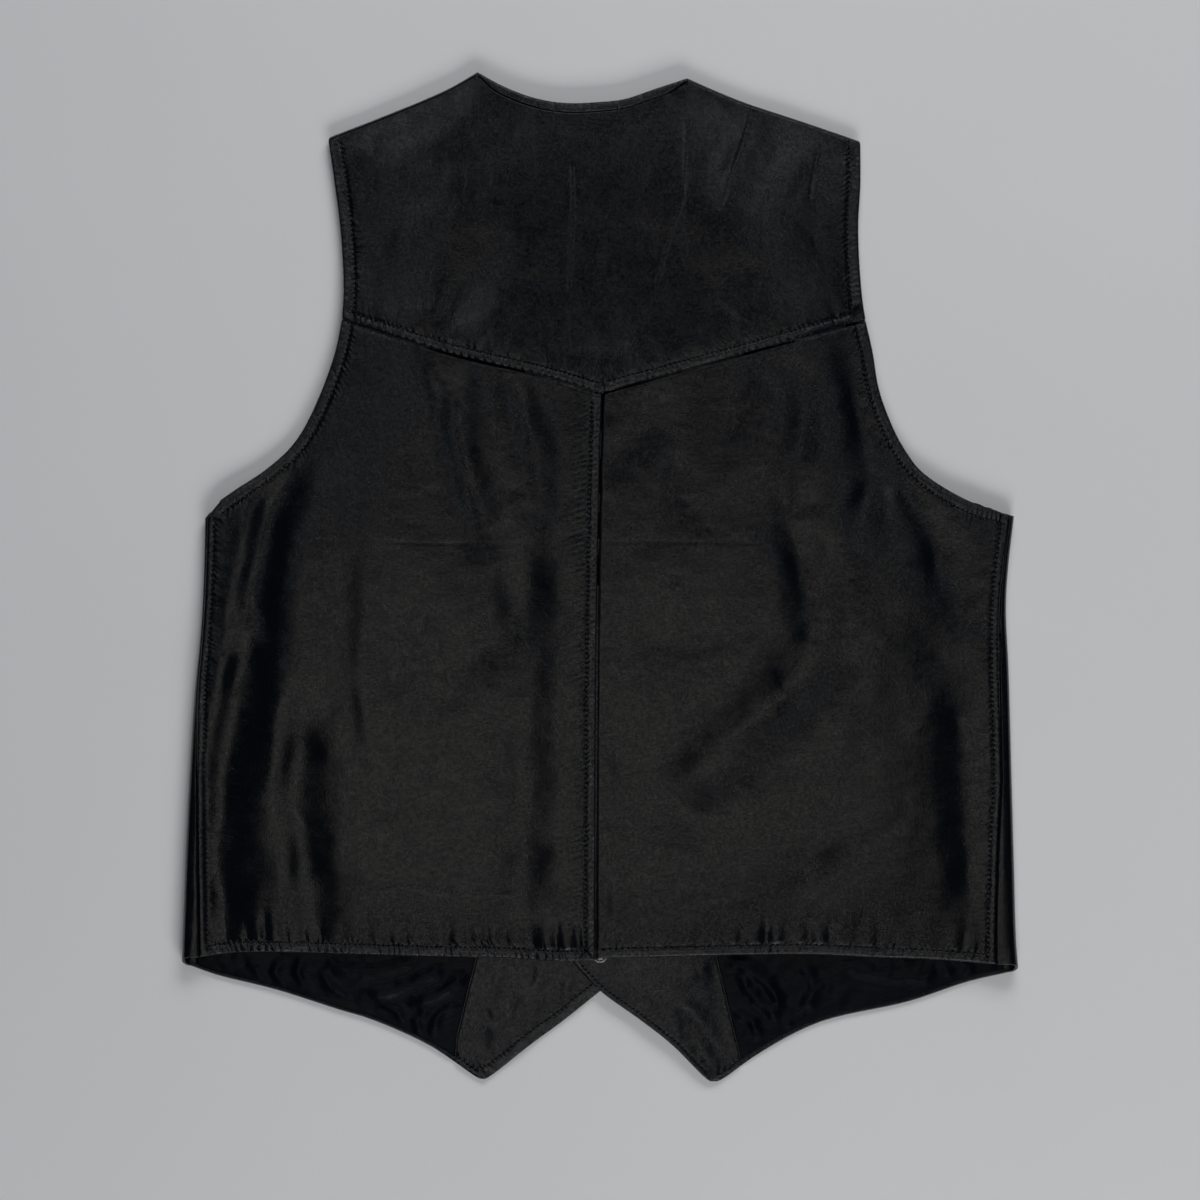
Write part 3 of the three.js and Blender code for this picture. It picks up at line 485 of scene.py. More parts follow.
def nearest_on(line: Array, where: Array) -> tuple[Array, Array, Array]:
    """How far points lie from a line of points.

    Args:
        line: The line's points.
        where: The points to measure, with x and y on the last axis.

    Returns:
        The distance, the length passed on the line, and 1 on the line's left or -1 on its right.
    """
    best = np.full(where.shape[:-1], np.inf)
    passed = np.zeros_like(best)
    side = np.ones_like(best)
    run = 0.0
    x, y = where[..., 0], where[..., 1]
    for (ax, ay), (bx, by) in zip(line, line[1:]):
        dx, dy = bx - ax, by - ay
        square = dx * dx + dy * dy
        share = np.clip(((x - ax) * dx + (y - ay) * dy) / square, 0.0, 1.0)
        distance = np.hypot(x - ax - share * dx, y - ay - share * dy)
        closer = distance < best
        length = math.sqrt(square)
        best = np.where(closer, distance, best)
        passed = np.where(closer, run + share * length, passed)
        side = np.where(closer, np.where(dx * (y - ay) - dy * (x - ax) >= 0.0, 1.0, -1.0), side)
        run += length
    return best, passed, side


class Hills:
    """Random hills over the plan, the same on each run."""

    SIZE = 64
    TURN = math.radians(37)

    def __init__(self, seed: int) -> None:
        """Fixes the heights of a lattice from the seed."""
        self.lattice = np.random.default_rng(seed).uniform(-1.0, 1.0, (self.SIZE, self.SIZE))

    def at(self, x: Array, y: Array) -> Array:
        """Heights from -1 to 1, with a hill for each unit of length."""
        column, row = np.floor(x), np.floor(y)
        across, up = x - column, y - row
        across, up = (t**3 * (t * (t * 6.0 - 15.0) + 10.0) for t in (across, up))
        i, j = column.astype(int) % self.SIZE, row.astype(int) % self.SIZE
        i_next, j_next = (i + 1) % self.SIZE, (j + 1) % self.SIZE
        low = mix(self.lattice[j, i], self.lattice[j, i_next], across)
        high = mix(self.lattice[j_next, i], self.lattice[j_next, i_next], across)
        return mix(low, high, up)

    def rough(self, where: Array, breadth: float, octaves: int = 3, stretch: float = 1.0) -> Array:
        """Hills with smaller ones on them.

        Args:
            where: Points of the plan.
            breadth: The breadth of the largest hills along y.
            octaves: How many sizes of hill there are, each half the last.
            stretch: How much longer the hills are along x.

        Returns:
            The heights, from about -1 to 1.
        """
        total = np.zeros(where.shape[:-1])
        x, y = where[..., 0] / (breadth * stretch), where[..., 1] / breadth
        for octave in range(octaves):
            total += self.at(x + 7.3 * octave, y + 3.1 * octave) / 2**octave
            x, y = (
                2.0 * (x * math.cos(self.TURN) - y * math.sin(self.TURN)),
                2.0 * (x * math.sin(self.TURN) + y * math.cos(self.TURN)),
            )
        return total

    def along(self, run: Array, spacing: float) -> Array:
        """Heights along a line, with a hill for each spacing."""
        return self.at(run / spacing, np.full_like(run, 0.5))


FOLD_HILLS = Hills(3)
FOLD_LEAN = 0.22
WARP_HILLS = Hills(4), Hills(5)


def warped(where: Array, reach: float = 0.0022, breadth: float = 0.038) -> Array:
    """Points of the plan, each moved a little, so that folds run unevenly."""
    return where + reach * np.stack([hills.rough(where, breadth, 2) for hills in WARP_HILLS], -1)


def fold_height(folds: Sequence[Fold], where: Array, fade: float = FOLD_END_FADE,
                broader: float = 1.0) -> Array:
    """The height that a group of folds adds at points of the plan.

    Args:
        folds: The folds.
        where: The points.
        fade: How far a fold runs out beyond its end.
        broader: How much broader the folds are made.

    Returns:
        The sum of their heights.
    """
    total = np.zeros(where.shape[:-1])
    for fold in folds:
        line = Line(fold.path) if len(fold.path) > 2 else Line(fold.path, curved=False)
        points = line.sampled(max(2, int(line.length / 0.008)))
        distance, passed, side = nearest_on(points, where)
        soft = min(fade, line.length / 2)
        ends = smooth(-soft, soft, passed) * smooth(-soft, soft, line.length - passed)
        uneven = FOLD_HILLS.along(passed + 100 * abs(fold.path[0][0]), 0.026)
        lean = FOLD_LEAN * side * smooth(0.0, soft, passed) * smooth(0.0, soft, line.length - passed)
        breadth = broader * fold.width * (1.0 + 0.25 * uneven + lean)
        total += fold.rise * ends * (1.0 - 0.25 * uneven) * hill(distance, breadth)
    return total


def side_radius(y: Array) -> Array:
    """The radius of the side fold at a height, half the height of the back face there."""
    return mix(SIDE_RADIUS_AT_HEM, SIDE_RADIUS_AT_UNDERARM, smooth(-0.262, 0.042, y))


class BackForm:
    """The heights at which the back face lies over the hollow body, without its laps."""

    SAMPLES = 24

    def __init__(self) -> None:
        """Gathers the edges that hold the back face down."""
        self.edges = []
        for half in (LEFT_HALF, RIGHT_HALF):
            self.pull_to(half.line(half.fold), 0.042, lambda y: 2 * side_radius(y))
            self.pull_to(half.line(half.armhole()), 0.04, self.armhole_height)
            self.pull_to(half.line(half.shoulder), 0.036, lambda y: np.full_like(y, SHOULDER_HEIGHT))
            self.pull_to(half.line(half.hem), 0.03, lambda y: np.full_like(y, HEM_HEIGHT), True)
        self.pull_to(Line(NECK_EDGE), 0.04, lambda y: np.full_like(y, NECK_HEIGHT))

    @staticmethod
    def armhole_height(y: Array) -> Array:
        """The height of the armhole's edge, which starts at the side fold's."""
        return mix(2 * SIDE_RADIUS_AT_UNDERARM, ARMHOLE_HEIGHT, smooth(0.042, 0.1, y))

    def pull_to(self, line: Line, reach: float, height: Callable, folds: bool = False) -> None:
        """Adds an edge with the reach of its pull, its height, and whether folds run over it."""
        self.edges.append((line.sampled(self.SAMPLES), reach, height, folds))

    def height(self, where: Array) -> Array:
        """The height of the outer face at points of the plan."""
        free = np.ones(where.shape[:-1])
        weights = np.zeros_like(free)
        heights = np.zeros_like(free)
        fold_share = np.ones_like(free)
        for line, reach, height, folds in self.edges:
            distance, _, _ = nearest_on(line, where)
            pull = np.exp(-((distance / reach) ** PULL_POWER))
            weight = pull * pull / (1.0 - pull + 1e-6)
            free *= 1.0 - pull
            weights += weight
            heights += weight * height(where[..., 1])
            if not folds:
                fold_share *= 1.0 - hill(distance, FOLD_EDGE_CLEARANCE)
        level = mix(heights / (weights + TINY), CROWN_HEIGHT, free)
        moved = warped(where)
        small = SMALL_FOLD_STRENGTH * fold_height(SMALL_FOLDS, moved, 0.018, SMALL_FOLD_BREADTH)
        main_folds = FOLD_STRENGTH * fold_height(MAIN_FOLDS, moved, broader=FOLD_BREADTH)
        return level + fold_share * (main_folds + small)


@dataclass(frozen=True)
class Topstitch:
    """A row of stitches beside an edge, with the puckers that it draws up in the leather.

    The edge lies on the line's left where edge_side is 1, and on its right where it is -1.
    """

    line: Line
    edge_side: int
    band: float
    seed: int
    pucker: float = 0.00024
    spacing: float = 0.0044
    slant: float = 0.5
    reach: float = 0.0036
    swell: float = 0.00012
    swell_spacing: float = 0.013
    swell_reach: float = 0.01
    pitch: float = 0.0033
    strong: Sequence[tuple[float, float]] = ((0.0, 1.0), (1.0, 1.0))
    groove: float = 0.00065
    bulge: float = 0.0003

    @property
    def even_pitch(self) -> float:
        """The pitch at which a whole number of stitches fills the row."""
        return self.line.length / int(self.line.length / self.pitch)

    def relief(self, where: Array) -> Array:
        """The height that the stitches and their puckers add at points of the plan."""
        span = 3.0 * max(2.0 * self.reach, self.swell_reach) + self.band
        points = self.line.sampled(max(16, int(self.line.length / 0.01)))
        low, high = points.min(0) - span, points.max(0) + span
        near = np.all((where > low) & (where < high), axis=-1)
        total = np.zeros(where.shape[:-1])
        if near.any():
            total[near] = self._near(*nearest_on(points, where[near]))
        return total

    def _near(self, distance: Array, passed: Array, side: Array) -> Array:
        """The relief at distances from the stitches, by the length passed and the side."""
        hills = Hills(self.seed)
        inwards = -side * self.edge_side * distance
        share = passed / self.line.length
        ends = smooth(0.0, 0.01, passed + 0.004) * smooth(0.0, 0.01, self.line.length - passed + 0.004)
        strength = np.interp(share, *zip(*self.strong)) * (0.75 + 0.75 * hills.along(passed, 0.019))
        jitter = 3.2 * hills.along(passed + 3.0, 0.011)
        wave = np.cos(2 * math.pi * (passed + self.slant * inwards) / self.spacing + jitter)
        drift = 3.5 * hills.along(passed + 9.0, 0.031)
        swell = np.cos(2 * math.pi * (passed + 0.3 * self.slant * inwards) / self.swell_spacing + drift)
        swell = swell - 0.3 * swell * swell + 0.15
        inside = np.maximum(inwards, 0.0)
        outside = np.maximum(-inwards, 0.0)
        body_side = np.exp(-inside / self.reach) * smooth(-0.0002, 0.0014, inwards)
        uneven = 0.85 + 0.5 * hills.along(passed + 5.0, 0.017)
        fall = self.swell_reach * (1.0 + 0.35 * hills.along(passed + 13.0, 0.021))
        long_side = np.exp(-((inside / fall) ** 2)) * smooth(0.0, 0.0035, inwards)
        edge_share = smooth(0.0002, 0.0016, outside) * (outside < 1.6 * self.band)
        total = self.pucker * strength * wave * (0.9 * body_side + 0.75 * edge_share)
        total += self.swell * strength * uneven * swell * long_side
        dimples = 0.7 + 0.3 * np.cos(2 * math.pi * passed / self.pitch)
        total -= self.groove * dimples * hill(distance, 0.0012)
        total += self.bulge * np.sin(math.pi * np.clip(outside / self.band, 0.0, 1.0))
        return total * ends


class Sewn(NamedTuple):
    """Where points lie beside the nearest stitches: how far off, and how many stitches along."""

    off: Array
    count: Array


def sewn_at(rows: Sequence[Topstitch], where: Array, far: float = 0.02) -> Sewn:
    """Finds the nearest stitches for points of the plan.

    Args:
        rows: The rows of stitches on the panel.
        where: The points.
        far: The distance beyond which no stitches are looked for.

    Returns:
        The distance, positive on the panel's side, and the count of stitches passed.
    """
    off, count = np.ones(where.shape[:-1]), np.zeros(where.shape[:-1])
    for row in rows:
        points = row.line.sampled(max(16, int(row.line.length / 0.01)))
        near = np.all((where > points.min(0) - far) & (where < points.max(0) + far), axis=-1)
        if near.any():
            distance, passed, side = nearest_on(points, where[near])
            closer = distance < np.abs(off[near])
            off[near] = np.where(closer, -side * row.edge_side * distance, off[near])
            count[near] = np.where(closer, passed / row.even_pitch, count[near])
    return Sewn(off, count)


class Shell:
    """A closed thin wall between two faces on one grid of rows and columns."""

    COARSER = 3

    def __init__(self, name: str, outer: Array, inner: Array, wear: Array,
                 sewn: Sewn | None = None) -> None:
        """Keeps the faces' points, rows first, and the wear and stitches of the outer face."""
        self.sewn = sewn or Sewn(np.ones_like(wear), np.zeros_like(wear))
        self.name = name
        self.outer = outer
        self.inner = inner[:: self.COARSER, :: self.COARSER]
        self.wear = wear

    @staticmethod
    def steps(count: int) -> int:
        """The number of steps, rounded up to suit the coarser inner face."""
        return -(-count // Shell.COARSER) * Shell.COARSER

    def build(self) -> bpy.types.Object:
        """Makes the mesh object, with its faces pointing out."""
        rows, columns = self.outer.shape[:2]
        inner_rows, inner_columns = self.inner.shape[:2]
        first_inner = rows * columns
        outer_index = np.arange(first_inner).reshape(rows, columns)
        inner_index = first_inner + np.arange(inner_rows * inner_columns).reshape(inner_rows, -1)
        quads = np.concatenate([self._quads(outer_index), self._quads(inner_index)[:, ::-1]])
        rims = self._rims(outer_index, inner_index)
        points = np.concatenate([self.outer.reshape(-1, 3), self.inner.reshape(-1, 3)])
        triangles = np.concatenate([quads[:, [0, 1, 2]], quads[:, [0, 2, 3]], rims])
        a, b, c = (points[triangles[:, k]] for k in range(3))
        if np.einsum("ij,ij->i", a, np.cross(b, c)).sum() < 0:
            quads, rims = quads[:, ::-1], rims[:, ::-1]
        mesh = self._mesh(points, quads, rims)
        for attribute, values, inside in (("edge_wear", self.wear, 0.0), ("stitch_off", self.sewn.off, 1.0),
                                          ("stitch_count", self.sewn.count, 0.0)):
            values = np.concatenate([values.ravel(), np.full(inner_index.size, inside)])
            mesh.attributes.new(attribute, "FLOAT", "POINT").data.foreach_set("value", values)
        return placed_object(self.name, mesh)

    @staticmethod
    def _quads(index: Array) -> Array:
        """The four corners of each cell of a grid."""
        cells = [index[:-1, :-1], index[:-1, 1:], index[1:, 1:], index[1:, :-1]]
        return np.stack([cell.ravel() for cell in cells], 1)

    def _rims(self, outer: Array, inner: Array) -> Array:
        """Triangles between the two faces along all four sides of the grid."""
        sides = [
            (outer[0, :], inner[0, :]),
            (outer[:, -1], inner[:, -1]),
            (outer[-1, ::-1], inner[-1, ::-1]),
            (outer[::-1, 0], inner[::-1, 0]),
        ]
        found = []
        for fine, coarse in sides:
            for step in range(len(coarse) - 1):
                start, end = coarse[step], coarse[step + 1]
                f = fine[step * self.COARSER : (step + 1) * self.COARSER + 1]
                found += [(f[0], start, f[1]), (f[1], start, end)]
                found += [(f[1], end, f[2]), (f[2], end, f[3])]
        return np.array(found)

    @staticmethod
    def _mesh(points: Array, quads: Array, triangles: Array) -> bpy.types.Mesh:
        """A mesh of quads and triangles with smooth shading."""
        mesh = bpy.data.meshes.new("shell")
        corners = np.concatenate([quads.ravel(), triangles.ravel()]).astype(np.int32)
        sizes = np.concatenate([np.full(len(quads), 4), np.full(len(triangles), 3)])
        starts = np.concatenate([[0], np.cumsum(sizes)[:-1]]).astype(np.int32)
        mesh.vertices.add(len(points))
        mesh.vertices.foreach_set("co", points.ravel())
        mesh.loops.add(len(corners))
        mesh.loops.foreach_set("vertex_index", corners)
        mesh.polygons.add(len(sizes))
        mesh.polygons.foreach_set("loop_start", starts)
        mesh.update(calc_edges=True)
        mesh.shade_smooth()
        mesh.set_sharp_from_angle(angle=math.radians(62))
        mesh.validate()
        return mesh


def placed_object(name: str, mesh: bpy.types.Mesh) -> bpy.types.Object:
    """An object at the origin for a mesh, in the scene."""
    mesh.name = name
    piece = bpy.data.objects.new(name, mesh)
    bpy.context.scene.collection.objects.link(piece)
    return piece


def graded(length: Array, count: int, start: bool, end: bool) -> Array:
    """Positions along rows of given lengths, closer together at the rolled ends.

    Args:
        length: The length of each row.
        count: The number of steps.
        start: Whether the first end is rolled.
        end: Whether the last end is rolled.

    Returns:
        One row of positions for each length.
    """
    length = np.atleast_1d(length)[:, None]
    first = ROLL_STEPS if start else np.zeros(1)
    last = ROLL_STEPS if end else np.zeros(1)
    middle = count + 2 - len(first) - len(last)
    share = np.linspace(0.0, 1.0, middle + 1)[None, 1:-1]
    inner = mix(first[-1], length - last[-1], share)
    rows = len(length)
    opening = np.broadcast_to(first, (rows, len(first)))
    closing = length - last[::-1][None, :]
    return np.concatenate([opening, inner, closing], 1)


def patch(bottom: PlanCurve, top: PlanCurve, left: PlanCurve, right: PlanCurve) -> Callable:
    """A patch of the plan between four edges that meet at its corners.

    Args:
        bottom: The first row, by its share.
        top: The last row.
        left: The first column.
        right: The last column.

    Returns:
        A function of the shares along a row and up a column.
    """
    zero, one = np.zeros(1), np.ones(1)
    corners = bottom(zero), bottom(one), top(zero), top(one)

    def at(u: Array, v: Array) -> Array:
        """The point at a share along its row and a share up its column."""
        across, up = u[..., None], v[..., None]
        rows = mix(left(v), right(v), across)
        columns = mix(bottom(u), top(u), up)
        flat = mix(mix(corners[0], corners[1], across), mix(corners[2], corners[3], across), up)
        return rows + columns - flat

    return at


class FoldLine(NamedTuple):
    """A half's outer line at given shares, with the size of the side fold there."""

    points: Array
    radius: Array
    strip: Array

    @property
    def seam_angle(self) -> Array:
        """The angle from the top of the fold at which the side seam lies."""
        share = np.clip(1.0 - self.strip / np.maximum(self.radius, TINY), 0.0, 1.0)
        return np.where(self.strip < self.radius, np.arcsin(share), 0.0)


@dataclass(frozen=True)
class OuterLine:
    """The outer line of a half: up the side fold to the underarm, and on along the armhole."""

    half: HalfPattern
    armhole: Sequence[Edge]
    underarm: float
    fade: float
    inset: float = 0.0

    def at(self, share: Array) -> FoldLine:
        """The line at shares of its run."""
        line = joined(
            (self.underarm, self.half.line(self.half.fold).at),
            (1.0, self.half.line(self.armhole).at),
        )
        points = line(share)
        above = smooth(self.underarm, self.underarm + self.fade, share)
        ahead = line(np.minimum(share + 0.01, 1.0)) - line(np.maximum(share - 0.01, 0.0))
        inwards = self.inset * above / np.hypot(ahead[..., 0], ahead[..., 1])
        y = points[..., 1]
        x = points[..., 0] - self.half.sign * inwards * np.abs(ahead[..., 1])
        full = side_radius(y) * (1.0 - above)
        radius = np.where(full < 2 * LEATHER, 0.0, full)
        rows = sorted(self.half.fold, key=lambda row: row.y)
        strip = np.interp(y, [row.y for row in rows], [row.strip for row in rows]) * (1.0 - above)
        moved = np.stack([x, y - inwards * np.abs(ahead[..., 0])], -1)
        return FoldLine(moved, radius, np.where(radius > 0, strip, 0.0))


def over_fold(tangent: Array, outward: Array, radius: Array, height: Array, along: Array,
              depth: Array) -> Array:
    """Points on a face that turns down over a fold.

    Args:
        tangent: Plan points where the turn begins.
        outward: The plan direction of the turn.
        radius: The radius of the fold.
        height: The height where the turn begins.
        along: The length from there along the outer face.
        depth: The depth below the outer face.

    Returns:
        The points in space.
    """
    turn = along / np.maximum(radius, TINY)
    sunk = np.minimum(depth, 0.9 * radius)
    reach = (radius - sunk) * np.sin(turn)
    z = height - radius + (radius - sunk) * np.cos(turn)
    return np.concatenate([tangent + outward * reach[..., None], z[..., None]], -1)


def with_turn(share: Array, rows: int) -> tuple[Array, Array]:
    """Adds the rows of a turn above a panel's rows.

    Args:
        share: The share of the panel's height at each row.
        rows: The number of rows in the turn.

    Returns:
        The shares with the turn's rows, and how far round the turn each row is, from 0 to 1.
    """
    beyond = np.concatenate([np.zeros(len(share)), np.linspace(0.0, 1.0, rows + 1)[1:]])
    return np.concatenate([share, np.ones(rows)]), beyond


def lap_share(distance: Array, lap: float, slope: float = LAP_FADE) -> Array:
    """How much a lapping panel is raised at a distance from its edge, from 0 to 1."""
    return 1.0 - smooth(lap + 0.0003, lap + slope, distance)


CENTRE = Line(CENTRE_SEAM)
SEAM_TOP = CENTRE.at(np.ones(1))[0]
CENTRE_RUN = np.vstack([CENTRE.sampled(24), SEAM_TOP + [0.0, 2 * YOKE_LAP]])
YOKE_EDGE = joined(
    (0.5, LEFT_HALF.line(LEFT_HALF.yoke_seam).at),
    (1.0, lambda share: RIGHT_HALF.line(RIGHT_HALF.yoke_seam).at(1.0 - share)),
)
YOKE_RUN = YOKE_EDGE(np.linspace(0.0, 1.0, 49))


@dataclass
class Piece:
    """A finished piece of the vest, with what it stands for."""

    shell: Shell
    finish: Finish
    nodes: Sequence[str]
    flat: tuple[float, float]
    area: float
    rests_on: Sequence[str] = ()

    def finished(self, material: bpy.types.Material) -> bpy.types.Object:
        piece = self.shell.build()
        dressed(piece, material, self.finish, *self.nodes)
        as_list(self.rests_on)
        log.info("%s: %d faces", piece.name, len(piece.data.polygons))
        return piece


def dressed(piece: bpy.types.Object, material: bpy.types.Material, finish: Finish, *nodes: str) -> None:
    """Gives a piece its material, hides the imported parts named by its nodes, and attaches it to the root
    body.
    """
    piece.data.materials.append(material)
    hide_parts(*nodes)
    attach(piece, "root")


class PanelGrid(NamedTuple):
    """The grid of a back panel, with the distance of each point from the panel's edges."""

    where: Array
    rows: Array
    run: Array
    arc: Array
    radius: Array
    to_hem: Array
    to_side: Array
    to_centre: Array


@dataclass
class BackPanel:
    """A back panel, between the hem, the side seam, the armhole, the yoke and the centre seam."""

    half: HalfPattern
    form: BackForm
    hills: Hills
    columns: int = Shell.steps(237)
    lower_rows: int = Shell.steps(205)
    upper_rows: int = Shell.steps(125)
    underarm: float = 0.62
    underarm_fade: float = 0.07
    hem_band: float = 0.0069
    armhole_band: float = 0.0076
    centre_band: float = 0.0066
    side_band: float = 0.0052
    height: float = 0.39

    @property
    def name(self) -> str:
        """The panel's name."""
        return f"back_{self.half.side.name.lower()}"

    @property
    def is_left(self) -> bool:
        """Whether this is the left panel, which lies on top at the centre seam."""
        return self.half.side is Side.LEFT

    def topstitches(self) -> list[Topstitch]:
        """The rows of stitches on the panel."""
        half, sign = self.half, self.half.sign
        hem = half.line(half.hem)
        armhole = half.line(half.lower_armhole)
        seam = Line([(sign * (row.reach - max(row.strip, 0.0014)), row.y) for row in half.fold])
        hem_zones = (
            ((0.0, 0.4), (0.09, 1.5), (0.24, 1.5), (0.32, 0.9), (0.68, 0.9), (0.78, 1.7), (1.0, 1.6))
            if self.is_left else
            ((0.0, 0.5), (0.1, 0.9), (0.18, 0.4), (0.34, 1.3), (0.56, 1.3), (0.7, 0.3), (1.0, 0.5))
        )
        rows = [
            Topstitch(hem.beside(-sign * self.hem_band, 0.022, 0.985), sign, self.hem_band, 11 + sign,
                      pucker=0.00016, spacing=0.0052, slant=0.15, reach=0.003,
                      swell=0.00052, swell_spacing=0.0145, swell_reach=0.014, bulge=0.00045,
                      pitch=0.0033 if self.is_left else 0.0043, strong=hem_zones),
            Topstitch(armhole.beside(sign * self.armhole_band, 0.06, 0.985), -sign, self.armhole_band,
                      21 + sign, pucker=0.00024, spacing=0.0046, slant=0.7),
            Topstitch(seam.beside(sign * self.side_band, 0.012, 0.985), -sign, self.side_band, 31 + sign,
                      pucker=0.00022, spacing=0.005, slant=0.6, swell=0.00018),
        ]
        if self.is_left:
            centre_zones = ((0.0, 1.3), (0.35, 1.5), (0.6, 1.0), (0.8, 1.2), (1.0, 0.9))
            rows.append(
                Topstitch(CENTRE.beside(self.centre_band, 0.012, 0.985), -1, self.centre_band, 41,
                          pucker=0.0004, spacing=0.0042, slant=0.35, reach=0.0058, swell=0.00006,
                          bulge=0.00012, strong=centre_zones)
            )
        return rows

    def surface(self, where: Array) -> Array:
        """The height of the outer face at points of the plan."""
        height = self.form.height(where)
        to_centre, _, _ = nearest_on(CENTRE_RUN, where)
        to_yoke, _, _ = nearest_on(YOKE_RUN, where)
        below_yoke = np.where(where[..., 1] < np.interp(where[..., 0], *YOKE_RUN.T), to_yoke, -to_yoke)
        free = smooth(-0.0016, -0.0002, below_yoke)
        if self.is_left:
            raised = lap_share(to_centre, CENTRE_LAP_LEVEL, CENTRE_LAP_SLOPE - CENTRE_LAP_LEVEL)
            height = height + (LAYER + CENTRE_LAP_EASE) * raised
        else:
            free = free * smooth(-0.0016, -0.0002, where[..., 0] - np.interp(where[..., 1], *self._seam_x()))
        relief = sum(row.relief(where) for row in self.topstitches())
        relief = relief + fold_height(CREASES, where, 0.012)
        relief = relief + 0.00042 * self.hills.rough(where, 0.04, 3)
        relief = relief + 0.0011 * self.hills.rough(where + 3.0, 0.105, 1)
        relief = relief + 0.00007 * self.hills.rough(where, 0.0065, 2, stretch=2.2)
        relief = relief - SEAM_DIP * hill(below_yoke, 0.0014)
        if not self.is_left:
            relief = relief - SEAM_DIP * hill(to_centre, 0.0012)
        return height + relief * free

    @staticmethod
    def _seam_x() -> tuple[Array, Array]:
        """The centre seam's x by its y."""
        return CENTRE.points[:, 1], CENTRE.points[:, 0]

    def grid(self) -> PanelGrid:
        """Lays out the grid of the panel's two faces."""
        half, sign = self.half, self.half.sign
        lap = 0.0 if self.is_left else CENTRE_LAP
        outer_line = OuterLine(half, half.lower_armhole, self.underarm, self.underarm_fade)
        hem_line, seam_line = half.line(half.hem), half.line(half.yoke_seam)

        def start(v: Array) -> Array:
            """The line where the side fold begins."""
            at = outer_line.at(v)
            x = at.points[..., 0] - sign * np.maximum(at.radius, at.strip)
            return np.stack([x, at.points[..., 1]], -1)

        def hem(u: Array) -> Array:
            """The hem."""
            return hem_line.at(u) - np.stack([lap * u, np.zeros_like(u)], -1)

        def under_yoke(u: Array) -> Array:
            """The upper edge, which the yoke covers."""
            raised = (YOKE_LAP - NEAR_CONTACT * 2) * smooth(0.0, 0.04, u)
            return seam_line.at(u) + np.stack([-lap * u, raised], -1)

        one = np.ones(1)
        low_y, high_y = float(hem(one)[0, 1]), float(under_yoke(one)[0, 1])

        def end(v: Array) -> Array:
            """The edge at the centre seam."""
            return np.stack([CENTRE.at(v)[..., 0] - lap, mix(low_y, high_y, v)], -1)

        lower = graded(self.underarm * self.height, self.lower_rows, True, False)[0] / self.height
        upper = np.linspace(self.underarm, 1.0, self.upper_rows + 1)[1:]
        v = np.concatenate([lower, upper])
        at = outer_line.at(v)
        arc = (at.radius * at.seam_angle)[:, None]
        flat = np.abs(end(v)[:, 0] - start(v)[:, 0])[:, None]
        run = graded((arc + flat)[:, 0], self.columns, True, self.is_left)
        u = np.clip((run - arc) / flat, 0.0, 1.0)
        rows = np.broadcast_to(v[:, None], u.shape)
        ahead = outer_line.at(np.minimum(v + 0.01, 1.0)).points
        before = outer_line.at(np.maximum(v - 0.01, 0.0)).points
        steep = np.abs(ahead - before)[:, 1] / np.hypot(*(ahead - before).T)
        return PanelGrid(
            where=patch(hem, under_yoke, start, end)(u, rows), rows=rows, run=run, arc=arc,
            radius=np.broadcast_to(at.radius[:, None], run.shape), to_hem=rows * self.height,
            to_side=run * steep[:, None], to_centre=arc + flat - run,
        )

    def wall(self, grid: PanelGrid) -> tuple[Array, Array]:
        """How deep the panel's two faces lie below its surface, thicker where it is turned in."""
        above = smooth(self.underarm, self.underarm + 0.02, grid.rows)
        turned_hem = 1.0 - smooth(*TURNED_IN, grid.to_hem)
        turned = np.maximum(turned_hem, above * (1.0 - smooth(*TURNED_IN, grid.to_side)))
        thickness = LEATHER + (mix(TURNED_EDGE, TURNED_HEM, 1.0 - above) - LEATHER) * turned
        half_side = mix(EDGE_RADIUS, TURNED_EDGE / 2, above)
        roll = edge_roll(grid.to_hem, TURNED_HEM / 2) + edge_roll(grid.to_side, half_side)
        if self.is_left:
            lapping = lap_share(grid.to_centre, CENTRE_LAP)
            packed = LAYER + CENTRE_LAP_EASE - NEAR_CONTACT
            thickness = mix(thickness, packed, lapping * (1.0 - turned))
            thinner = np.minimum(thickness, mix(thickness, packed, lapping))
            thickness = np.where(lapping > 0, thinner, thickness)
            roll = np.minimum(roll + edge_roll(grid.to_centre, EDGE_RADIUS), 0.0013)
        roll = np.minimum(roll, 0.48 * thickness)
        free = 1.0 - (grid.to_centre < 0.004) * self.is_left
        under = np.minimum(roll, np.maximum(thickness / 2 - 0.00006, 0.0)) * free
        return roll, thickness - under

    def piece(self) -> Piece:
        """Builds the panel's two faces."""
        grid = self.grid()
        top = self.surface(grid.where)
        outward = np.array([float(self.half.sign), 0.0])
        over = (grid.run < grid.arc)[..., None]
        lead = np.where(over[..., 0], grid.arc - grid.run, 0.0)
        faces = [
            np.where(over, over_fold(grid.where, outward, grid.radius, top, lead, depth),
                     lifted(grid.where, top - depth))
            for depth in self.wall(grid)
        ]
        nearest = np.minimum(grid.to_hem, grid.to_side)
        if self.is_left:
            nearest = np.minimum(nearest, grid.to_centre)
        sewn = sewn_at(self.topstitches(), grid.where)
        return Piece(Shell(self.name, *faces, edge_wear(nearest), sewn), Finish.LEATHER, [self.name],
                     flat=(0.3, 0.46), area=0.112, rests_on=["front_" + self.half.side.name.lower()])


class YokeGrid(NamedTuple):
    """The grid of the yoke, with the distance of each point from the yoke's edges."""

    where: Array
    reached: Array
    beyond: Array
    in_neck: Array
    to_edge: Array
    to_side: Array
    to_neck: Array


def from_seam_top(where: Array) -> Array:
    """The distance from the top of the centre seam."""
    return np.hypot(where[..., 0] - SEAM_TOP[0], where[..., 1] - SEAM_TOP[1])


